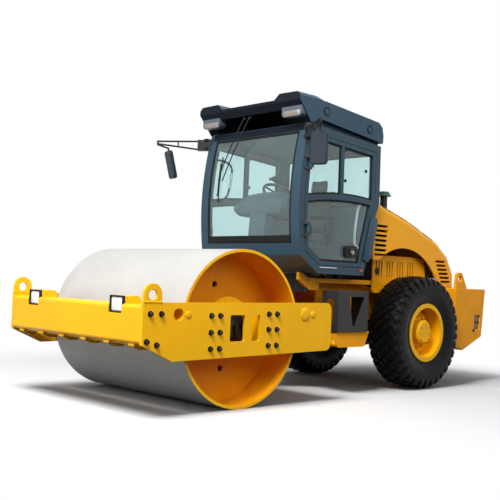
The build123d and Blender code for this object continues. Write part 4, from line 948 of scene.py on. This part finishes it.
# Drum motors behind the side plates' windows; the housing is (share of radius, distance)
drumMotor = {
    "y": 0.935, "length": 0.137, "radius": 0.150, "portsBack": 0.03, "portsOut": 0.07,
    "ports": (60, 200, 320),
    "port": [(0, 0), (0.026, 0), (0.026, 0.02), (0.018, 0.024), (0.018, 0.045), (0, 0.045)],
    "housing": [(0, 0), (1, 0), (1, 0.03), (0.82, 0.036), (0.82, 0.08), (0.66, 0.09), (0.62, 0.125),
                (0.55, 0.137), (0, 0.137)],
}
bm = bmesh.new()
for s in sides.values():
    housing = [(drumMotor["radius"] * share, far) for share, far in drumMotor["housing"]]
    addTurned(bm, housing, atDrum(0, s * drumMotor["y"], station["drumRadius"]), (0, s, 0), steps=40)
    y = s * (drumMotor["y"] + drumMotor["length"] - drumMotor["portsBack"])
    for turn in drumMotor["ports"]:
        a = math.radians(turn)
        spot = atDrum(drumMotor["portsOut"] * math.cos(a), y,
                      station["drumRadius"] + drumMotor["portsOut"] * math.sin(a))
        addTurned(bm, drumMotor["port"], spot, (0, s, 0), steps=12)
addPiece("drumMotors", bm, blackOxide, "front_frame")

# Small covers beside the access holes, and tie lugs at the plates' rear ends
plateTrim = {
    "covers": [(0.735, 0.905), (-0.93, 0.905)], "coverY": 1.130,
    "cover": [(0, 0), (0.034, 0), (0.034, 0.004), (0.029, 0.008), (0.014, 0.009), (0, 0.009)],
    "lug": [(-1.215, 1.106, 0.592), (-1.290, 1.126, 0.632)], "eye": (-1.278, 1.116, 0.612),
    "eyeProfile": [(0, -0.02), (0.024, -0.02), (0.024, 0.02), (0, 0.02)],
}
covers, lugs = bmesh.new(), bmesh.new()
for s in sides.values():
    for spot in flat(plateTrim["covers"], s * plateTrim["coverY"]):
        addTurned(covers, plateTrim["cover"], spot, (0, s, 0))
    addBox(lugs, *route(plateTrim["lug"], s), bevel=0.006)
    addTurned(lugs, plateTrim["eyeProfile"], *route([plateTrim["eye"]], s), (0, 0, 1), steps=20)
addPiece("plateSmallCovers", covers, yellowEnamel, "front_frame")
addPiece("plateTieLugs", lugs, yellowEnamel, "front_frame")

# Ribbed rubber apron under the front of the cab
apron = {"x": -1.415, "half": 0.60, "z": (1.125, 1.2275, 1.330), "rib": 0.009, "ribs": 30, "thick": 0.007}
bm = bmesh.new()
steps = apron["ribs"] * 4
waves = [(apron["x"] + apron["rib"] * math.cos(math.pi * i / 2),
          -apron["half"] + 2 * apron["half"] * i / steps)
         for i in range(steps + 1)]
rows = [[bm.verts.new(atDrum(x, y, z)) for x, y in waves] for z in apron["z"]]
for a, b in zip(rows, rows[1:]):
    for i in range(steps):
        bm.faces.new((a[i], a[i + 1], b[i + 1], b[i]))
bmesh.ops.recalc_face_normals(bm, faces=bm.faces)
bmesh.ops.solidify(bm, geom=bm.faces[:], thickness=apron["thick"])
addPiece("cabApron", bm, moulded, "rear_frame")

# Sleeves behind the front access holes
tieSleeve = {"place": (0.845, 1.099, 0.905),
             "profile": [(0.056, 0), (0.063, 0), (0.063, 0.114), (0, 0.114), (0, 0.106), (0.056, 0.106),
                         (0.056, 0)]}
bm = bmesh.new()
for s in sides.values():
    addTurned(bm, tieSleeve["profile"], *route([tieSleeve["place"]], s), (0, -s, 0), steps=40)
addPiece("tieHoleSleeves", bm, yellowEnamel, "front_frame")

# Brackets that hold the front scraper under the beam
bracket = {"across": (-0.95, -0.57, -0.19, 0.19, 0.57, 0.95), "half": 0.012,
           "shape": [(1.215, 0.650), (1.205, 0.612), (1.12, 0.585), (1.03, 0.585), (1.02, 0.650)],
           "padX": (1.13, 1.22), "padZ": (0.622, 0.646), "padHalf": 0.045}
bm = bmesh.new()
(x0, x1), (z0, z1) = bracket["padX"], bracket["padZ"]
for y in bracket["across"]:
    addPlate(bm, flat(bracket["shape"], y - bracket["half"]), (0, 2 * bracket["half"], 0), bevel=0.003)
    addBox(bm, atDrum(x0, y - bracket["padHalf"], z0), atDrum(x1, y + bracket["padHalf"], z1), bevel=0.004)
addPiece("scraperBrackets", bm, yellowEnamel, "front_frame")

# Mirror clamps on the cab's front posts
clamp = {"heights": (2.800, 2.905), "half": 0.018, "x": (-1.150, -1.045), "y": (0.798, 0.848),
         "bolts": (-1.125, -1.072), "boltY": 0.847,
         "bolt": [(0, 0), (0.010, 0), (0.010, 0.007), (0.007, 0.009), (0, 0.009)]}
bm = bmesh.new()
(x0, x1), (y0, y1) = clamp["x"], clamp["y"]
for s in sides.values():
    for z in clamp["heights"]:
        addBox(bm, atDrum(x0, s * y0, z - clamp["half"]), atDrum(x1, s * y1, z + clamp["half"]), bevel=0.006)
        for x in clamp["bolts"]:
            addTurned(bm, clamp["bolt"], atDrum(x, s * clamp["boltY"], z), (0, s, 0), steps=6)
addPiece("mirrorClamps", bm, blackPlastic, "rear_frame")

# Tail lamps: black surround and two lenses, set into the recess
tailLamp = {"x": (-4.523, -4.353), "z": (0.690, 0.890), "split": (0.782, 0.796), "rim": 0.016, "deep": 0.874,
            "face": 0.911, "lensShy": 0.008}
bm, lens = bmesh.new(), bmesh.new()
(x0, x1), (z0, z1), (low, high), rim = tailLamp["x"], tailLamp["z"], tailLamp["split"], tailLamp["rim"]
for s in sides.values():
    deep, face = s * tailLamp["deep"], s * tailLamp["face"]
    for a, b, c, d in rimBars(x0, x1, z0, z1, rim) + [(x0 + rim, x1 - rim, low, high)]:
        addBox(bm, atDrum(a, deep, c), atDrum(b, face, d), bevel=0.003)
    for c, d in ((z0 + rim, low), (high, z1 - rim)):
        addBox(lens, atDrum(x0 + rim, deep, c),
               atDrum(x1 - rim, face - s * tailLamp["lensShy"], d), bevel=0.005)
addPiece("tailLampSurrounds", bm, blackPlastic, "rear_frame")
addPiece("tailLampLenses", lens, smokedRed, "rear_frame")
print("lamps, clamps and brackets made")

# Small pressed slots along the hood's upper corners
slotTree, given = newTree("pressedSlots", {
    "Length": ("Float", 0.03), "Width": ("Float", 0.012), "Height": ("Float", 0.003),
    "Material": ("Material", None),
})
slotSize = addNode(slotTree, "ShaderNodeCombineXYZ",
                   {"X": given["Width"], "Y": given["Length"], "Z": given["Height"]})
slot = addNode(slotTree, "GeometryNodeMeshCube", {"Size": slotSize.outputs[0]})
way = addNode(slotTree, "GeometryNodeInputNamedAttribute", sockets={"Name": "way"}, data_type="FLOAT_VECTOR")
stand = addNode(slotTree, "FunctionNodeAlignRotationToVector", {"Vector": way.outputs["Attribute"]}, axis="Z")
along = addNode(slotTree, "FunctionNodeAlignRotationToVector", {"Rotation": stand.outputs["Rotation"]},
                {"Vector": (-1, 0, -0.3)}, axis="X", pivot_axis="Z")
closeTree(slotTree, given, slot.outputs["Mesh"], Rotation=along.outputs["Rotation"])

# a gap follows every eleven slots; rays from outside find the hood's skin
hoodSlots = {"from": -2.62, "to": -3.76, "pitch": 0.0235, "group": 12, "half": 0.70, "corner": 0.09,
             "rayFrom": 0.5, "profile": [(-2.44, 2.262), (-3.16, 2.062), (-3.79, 1.832)]}


def hoodTop(x):
    line = hoodSlots["profile"]
    (ax, az), (bx, bz) = next(pair for pair in zip(line, line[1:]) if pair[1][0] <= x)
    return az + (bz - az) * (ax - x) / (ax - bx)


hoodSkin = skinOf("hood")
spotList = []
for s in sides.values():
    for n in range(int((hoodSlots["from"] - hoodSlots["to"]) / hoodSlots["pitch"])):
        x = hoodSlots["from"] - n * hoodSlots["pitch"]
        start = atDrum(x, s * (hoodSlots["half"] - hoodSlots["corner"] + hoodSlots["rayFrom"]),
                       hoodTop(x) - hoodSlots["corner"] + hoodSlots["rayFrom"])
        hit, normal, _, _ = hoodSkin.ray_cast(start, Vector((0, -s, -1)).normalized())
        if hit and (n + 1) % hoodSlots["group"]:
            spotList.append((hit, normal if normal.z > 0 else -normal))
# the slots are black strips on the skin: painted shade inside the openings
growPiece("hoodSlotShadeStrips", slotTree, spotMesh("hoodSlotShadeStrips", spotList),
          {"Length": 0.034, "Width": 0.011, "Height": 0.003, "Material": sealRubber}, "hood")

# Hood latches
hoodLatch = {"places": [(-2.53, 1.40), (-3.98, 1.20)], "wall": 0.70, "bar": (0.024, 0.007),
             "barY": (0.701, 0.712),
             "dish": [(0, 0.001), (0.030, 0.001), (0.033, 0.006), (0.040, 0.006), (0.043, 0.0),
                      (0.043, -0.004)]}
bm = bmesh.new()
(w, h), (y0, y1) = hoodLatch["bar"], hoodLatch["barY"]
for s in sides.values():
    for x, z in hoodLatch["places"]:
        addTurned(bm, hoodLatch["dish"], atDrum(x, s * hoodLatch["wall"], z), (0, s, 0), steps=36)
        addBox(bm, atDrum(x - w, s * y0, z - h), atDrum(x + w, s * y1, z + h), bevel=0.004)
addPiece("hoodLatches", bm, blackPlastic, "hood")

# Studs on the step boxes' tops
studTree, given = newTree("stepStuds", {
    "Radius": ("Float", 0.011), "Height": ("Float", 0.006), "Material": ("Material", None),
})
topRadius = addNode(studTree, "ShaderNodeMath", {0: given["Radius"]}, {1: 0.55}, operation="MULTIPLY")
stud = addNode(studTree, "GeometryNodeMeshCone",
               {"Radius Top": topRadius.outputs[0], "Radius Bottom": given["Radius"],
                "Depth": given["Height"]}, {"Vertices": 12})
closeTree(studTree, given, stud.outputs["Mesh"])
stepStud = {"x": (-2.10, -1.63), "y": (0.69, 0.875), "columns": 11, "rows": 5, "stagger": 0.25,
            "rayFrom": 1.25, "lowest": 1.1}
stepSkin = skinOf("step_boxes")
(x0, x1), (y0, y1), stagger = stepStud["x"], stepStud["y"], stepStud["stagger"]
spotList = []
for s in sides.values():
    for i in range(stepStud["columns"]):
        for j in range(stepStud["rows"]):
            x = x0 + (x1 - x0) * (i + stagger * (j % 2)) / (stepStud["columns"] - 1 + stagger)
            y = y0 + (y1 - y0) * j / (stepStud["rows"] - 1)
            hit = stepSkin.ray_cast(atDrum(x, s * y, stepStud["rayFrom"]), Vector((0, 0, -1)))[0]
            if hit and hit.z > stepStud["lowest"]:
                spotList.append((hit, Vector((0, 0, 1))))
growPiece("stepStuds", studTree, spotMesh("stepStuds", spotList), {"Material": stepEnamel},
          "rear_frame")

# Radiator fins on both faces of the core
finTree, given = newTree("coolingFins", {
    "Thickness": ("Float", 0.003), "Depth": ("Float", 0.01), "Height": ("Float", 0.4),
    "Material": ("Material", None),
})
finSize = addNode(finTree, "ShaderNodeCombineXYZ",
                  {"X": given["Depth"], "Y": given["Thickness"], "Z": given["Height"]})
fin = addNode(finTree, "GeometryNodeMeshCube", {"Size": finSize.outputs[0]})
closeTree(finTree, given, fin.outputs["Mesh"])
radiator = {"faces": (-3.757, -3.883), "half": 0.475, "fins": 72, "middle": 1.385, "height": 0.40}
across = [-radiator["half"] + 2 * radiator["half"] * i / (radiator["fins"] - 1)
          for i in range(radiator["fins"])]
spotList = [(atDrum(x, y, radiator["middle"]), Vector((0, 0, 1))) for x in radiator["faces"] for y in across]
growPiece("radiatorFins", finTree, spotMesh("radiatorFins", spotList),
          {"Height": radiator["height"], "Material": zinc}, "rear_frame")

# Engine dressing: rocker cover, pulley, fan, air filter, silencer and pipes
engine = {
    "rocker": [(-3.50, -0.15, 1.598), (-2.88, 0.15, 1.690)],
    "rib": [(-3.46, -0.155, 1.645), (-3.44, 0.155, 1.700)], "ribs": 6, "ribPitch": 0.1,
    "oilCap": (-3.0, 0.07, 1.69),
    "oilCapProfile": [(0, 0), (0.036, 0), (0.036, 0.02), (0.028, 0.03), (0, 0.03)],
    "pulley": (-3.618, 0, 1.385),
    "pulleyProfile": [(0, 0), (0.13, 0), (0.13, 0.02), (0.115, 0.035), (0.13, 0.05), (0.13, 0.07), (0, 0.07)],
    "fan": (-3.715, 0, 1.385), "blades": 8, "bladeTwist": 0.016, "bladeThick": 0.004,
    "blade": [(0.06, -0.028), (0.215, -0.052), (0.215, 0.052), (0.06, 0.028)],
    "fanHub": [(0, -0.02), (0.07, -0.02), (0.075, 0.0), (0.07, 0.02), (0, 0.02)],
    "filter": (-2.74, 0.30, 1.815),
    "filterProfile": [(0, 0), (0.11, 0), (0.125, 0.012), (0.125, 0.04), (0.118, 0.045), (0.118, 0.33),
                      (0.125, 0.335), (0.125, 0.36), (0.105, 0.375), (0, 0.375)],
    "duct": [(-3.11, 0.30, 1.815), (-3.22, 0.30, 1.815), (-3.32, 0.28, 1.78), (-3.34, 0.25, 1.68),
             (-3.34, 0.25, 1.58)],
    "silencer": (-2.86, -0.30, 1.80),
    "silencerProfile": [(0, 0), (0.08, 0), (0.10, 0.015), (0.10, 0.40), (0.08, 0.415), (0, 0.415)],
    "ports": 4, "portFrom": -3.40, "portPitch": 0.15,
    "port": [(0, -0.38, 1.52), (0, -0.43, 1.53), (0, -0.46, 1.56), (0.02, -0.46, 1.60)],
    "manifold": [(-3.44, -0.46, 1.60), (-3.2, -0.465, 1.60), (-2.90, -0.46, 1.60)],
    "downpipe": [(-3.04, -0.46, 1.60), (-3.02, -0.45, 1.68), (-3.0, -0.36, 1.72), (-3.0, -0.32, 1.74)],
}
bm = bmesh.new()
addBox(bm, *route(engine["rocker"]), bevel=0.022)
for i in range(engine["ribs"]):
    addBox(bm, *route([(x + engine["ribPitch"] * i, y, z) for x, y, z in engine["rib"]]), bevel=0.005)
addTurned(bm, engine["oilCapProfile"], atDrum(*engine["oilCap"]), (0, 0, 1), steps=20)
addTurned(bm, engine["pulleyProfile"], atDrum(*engine["pulley"]), (-1, 0, 0), steps=40)
addPiece("engineCovers", bm, blackOxide, "rear_frame")
bm = bmesh.new()
centre = atDrum(*engine["fan"])
for i in range(engine["blades"]):
    a = 2 * math.pi * i / engine["blades"]
    outward, turn = Vector((0, math.cos(a), math.sin(a))), Vector((0, -math.sin(a), math.cos(a)))
    blade = [centre + outward * r + turn * w + Vector((math.copysign(engine["bladeTwist"], w), 0, 0))
             for r, w in engine["blade"]]
    addPlate(bm, blade, (engine["bladeThick"], 0, 0))
addTurned(bm, engine["fanHub"], centre, (1, 0, 0))
addPiece("coolingFan", bm, blackPlastic, "rear_frame")
bm = bmesh.new()
addTurned(bm, engine["filterProfile"], atDrum(*engine["filter"]), (-1, 0, 0), steps=40)
addRod(bm, route(engine["duct"]), 0.038)
addPiece("airFilter", bm, blackPlastic, "rear_frame")
bm = bmesh.new()
addTurned(bm, engine["silencerProfile"], atDrum(*engine["silencer"]), (-1, 0, 0), steps=36)
for i in range(engine["ports"]):
    start = engine["portFrom"] + engine["portPitch"] * i
    addRod(bm, route([(start + x, y, z) for x, y, z in engine["port"]]), 0.024)
addRod(bm, route(engine["manifold"]), 0.034)
addRod(bm, route(engine["downpipe"]), 0.03)
addPiece("exhaustRun", bm, zinc, "rear_frame")
print("hood and engine dressed")

# Weld beads along the joints of the front and rear frames
beadTree, given = newTree("weldBeads", {
    "Size": ("Float", 0.007), "Seed": ("Int", 3), "Material": ("Material", None),
})
bead = addNode(beadTree, "GeometryNodeMeshIcoSphere", {"Radius": given["Size"]}, {"Subdivisions": 2})
spread = addNode(beadTree, "FunctionNodeRandomValue", {"Seed": given["Seed"]},
                 {0: (0.85, 0.85, 0.85), 1: (1.2, 1.2, 1.2)}, data_type="FLOAT_VECTOR")
closeTree(beadTree, given, bead.outputs["Mesh"], Scale=spread.outputs["Value"])
weld = {
    "pitch": 0.009, "size": 0.0065,
    "front": [((1.035, 1.130, 1.012), (1.235, 1.130, 1.012)), ((1.035, 1.100, 1.012), (1.235, 1.100, 1.012)),
              ((1.003, 1.099, 0.66), (1.003, 1.099, 0.98)), ((-0.858, 1.099, 0.56), (-0.858, 1.099, 0.98)),
              ((-1.032, 1.099, 0.56), (-1.032, 1.099, 0.98))],
    "rear": [((-4.165, 0.905, 1.232), (-3.91, 0.905, 1.232)), ((-1.46, 0.432, 1.235), (-2.18, 0.432, 1.235))],
}
# the rear beads take the redder enamel that carries the rear frame's painted shade
for end, material in (("front", yellowEnamel), ("rear", orangeEnamelAndShade)):
    spotList = []
    for s in sides.values():
        for seam in weld[end]:
            start, stop = route(seam, s)
            count = int((stop - start).length / weld["pitch"])
            spotList += [(start.lerp(stop, i / count), Vector((0, 0, 1))) for i in range(count + 1)]
    growPiece(f"weldBeads{end.title()}", beadTree, spotMesh("weldBeads", spotList),
              {"Size": weld["size"], "Material": material}, f"{end}_frame")
print("welds laid")

# Rounded edges on the fabricated parts
edgeRound = {"side_plates": 0.005, "front_beam": 0.014, "counterweight": 0.014, "step_boxes": 0.005,
             "lifting_eyes": 0.005, "rear_lugs": 0.005, "side_tanks": 0.010, "rear_crossbeam": 0.006}
for node, width in edgeRound.items():
    cad[node].modifiers.new("weld", "WELD").merge_threshold = 0.0002
    rounding = cad[node].modifiers.new("edges", "BEVEL")
    rounding.width, rounding.segments = width, 3
    rounding.limit_method, rounding.angle_limit = "ANGLE", math.radians(50)
    rounding.harden_normals = True
print("edges rounded")

# Floor, sky and lamps
stageLook = {"floor": "f7f7f7", "bounce": "3a3a3a", "skyTint": "f4f8ff", "sky": 0.26, "fadeFrom": 3.0,
             "fadeTo": 5.5, "floorSize": 400, "floorDrop": 0.001}


def seenRays(tree):
    # 1 for what the camera sees, straight or by mirrors and glass, and 0 for light that bounces
    path = addNode(tree, "ShaderNodeLightPath").outputs
    near = addNode(tree, "ShaderNodeMath", {0: path["Is Camera Ray"], 1: path["Is Glossy Ray"]},
                   operation="MAXIMUM")
    return addNode(tree, "ShaderNodeMath", {0: near.outputs[0], 1: path["Is Transmission Ray"]},
                   operation="MAXIMUM").outputs[0]


floorMat = bpy.data.materials.new("paleFloor")
floorMat.use_nodes = True
tree = floorMat.node_tree
tree.nodes.clear()
place = addNode(tree, "ShaderNodeTexCoord").outputs["Object"]
far = addNode(tree, "ShaderNodeVectorMath", {0: place}, operation="LENGTH")
fade = addNode(tree, "ShaderNodeMapRange", {"Value": far.outputs["Value"]},
               {"From Min": stageLook["fadeFrom"], "From Max": stageLook["fadeTo"]},
               interpolation_type="SMOOTHSTEP")
pale = addNode(tree, "ShaderNodeBsdfDiffuse", sockets={"Color": linear(stageLook["floor"])})
glow = addNode(tree, "ShaderNodeEmission", sockets={"Strength": 1.0})
lit = addNode(tree, "ShaderNodeMixShader",
              {0: fade.outputs["Result"], 1: pale.outputs[0], 2: glow.outputs[0]})
dull = addNode(tree, "ShaderNodeBsdfDiffuse", sockets={"Color": linear(stageLook["bounce"])})
both = addNode(tree, "ShaderNodeMixShader", {0: seenRays(tree), 1: dull.outputs[0], 2: lit.outputs[0]})
addNode(tree, "ShaderNodeOutputMaterial", {"Surface": both.outputs[0]})
bpy.ops.mesh.primitive_plane_add(size=stageLook["floorSize"], location=(0, 0, -stageLook["floorDrop"]))
floor = bpy.context.object
floor.name = "studioFloor"
floor.data.materials.append(floorMat)

world = bpy.data.worlds.new("studio")
scene.world = world
world.use_nodes = True
tree = world.node_tree
tree.nodes.clear()
soft = addNode(tree, "ShaderNodeBackground",
               sockets={"Color": linear(stageLook["skyTint"]), "Strength": stageLook["sky"]})
white = addNode(tree, "ShaderNodeBackground", sockets={"Color": linear("ffffff"), "Strength": 1.0})
both = addNode(tree, "ShaderNodeMixShader", {0: seenRays(tree), 1: soft.outputs[0], 2: white.outputs[0]})
addNode(tree, "ShaderNodeOutputWorld", {"Surface": both.outputs[0]})

# the floor has its own overhead lamp, so that its shadow lies under the machine
floorOnly, notFloor = bpy.data.collections.new("floorOnly"), bpy.data.collections.new("notFloor")
for group in (floorOnly, notFloor):
    group.objects.link(floor)
notFloor.collection_objects[0].light_linking.link_state = "EXCLUDE"
lamps = {
    "keyLight": {"place": (6.6, 3.9, 8.4), "aim": (0.5, 0, 1.0), "size": 3.5, "power": 1130,
                 "tint": "fffdf8", "onto": notFloor},
    "frontLight": {"place": (9.5, -1.0, 3.6), "aim": (1.5, 0, 0.8), "size": 5, "power": 410,
                   "tint": "fffdf8", "onto": notFloor},
    "sideLight": {"place": (0.8, 8.5, 7.6), "aim": (0, 0, 1.0), "size": 9, "power": 520,
                  "tint": "fff9f0", "onto": notFloor},
    "floorLight": {"place": (6.5, 1.5, 11), "aim": (0.5, 0, 0), "size": 4.5, "power": 1500,
                   "tint": "ffffff", "onto": floorOnly},
}
for name, setting in lamps.items():
    data = bpy.data.lights.new(name, "AREA")
    data.energy, data.size, data.color = setting["power"], setting["size"], linear(setting["tint"])[:3]
    lamp = bpy.data.objects.new(name, data)
    lamp.location = setting["place"]
    lamp.rotation_euler = (Vector(setting["aim"]) - lamp.location).to_track_quat("-Z", "Y").to_euler()
    lamp.light_linking.receiver_collection = setting["onto"]
    scene.collection.objects.link(lamp)
scene.view_settings.view_transform = "Standard"
print("camera and lights set")
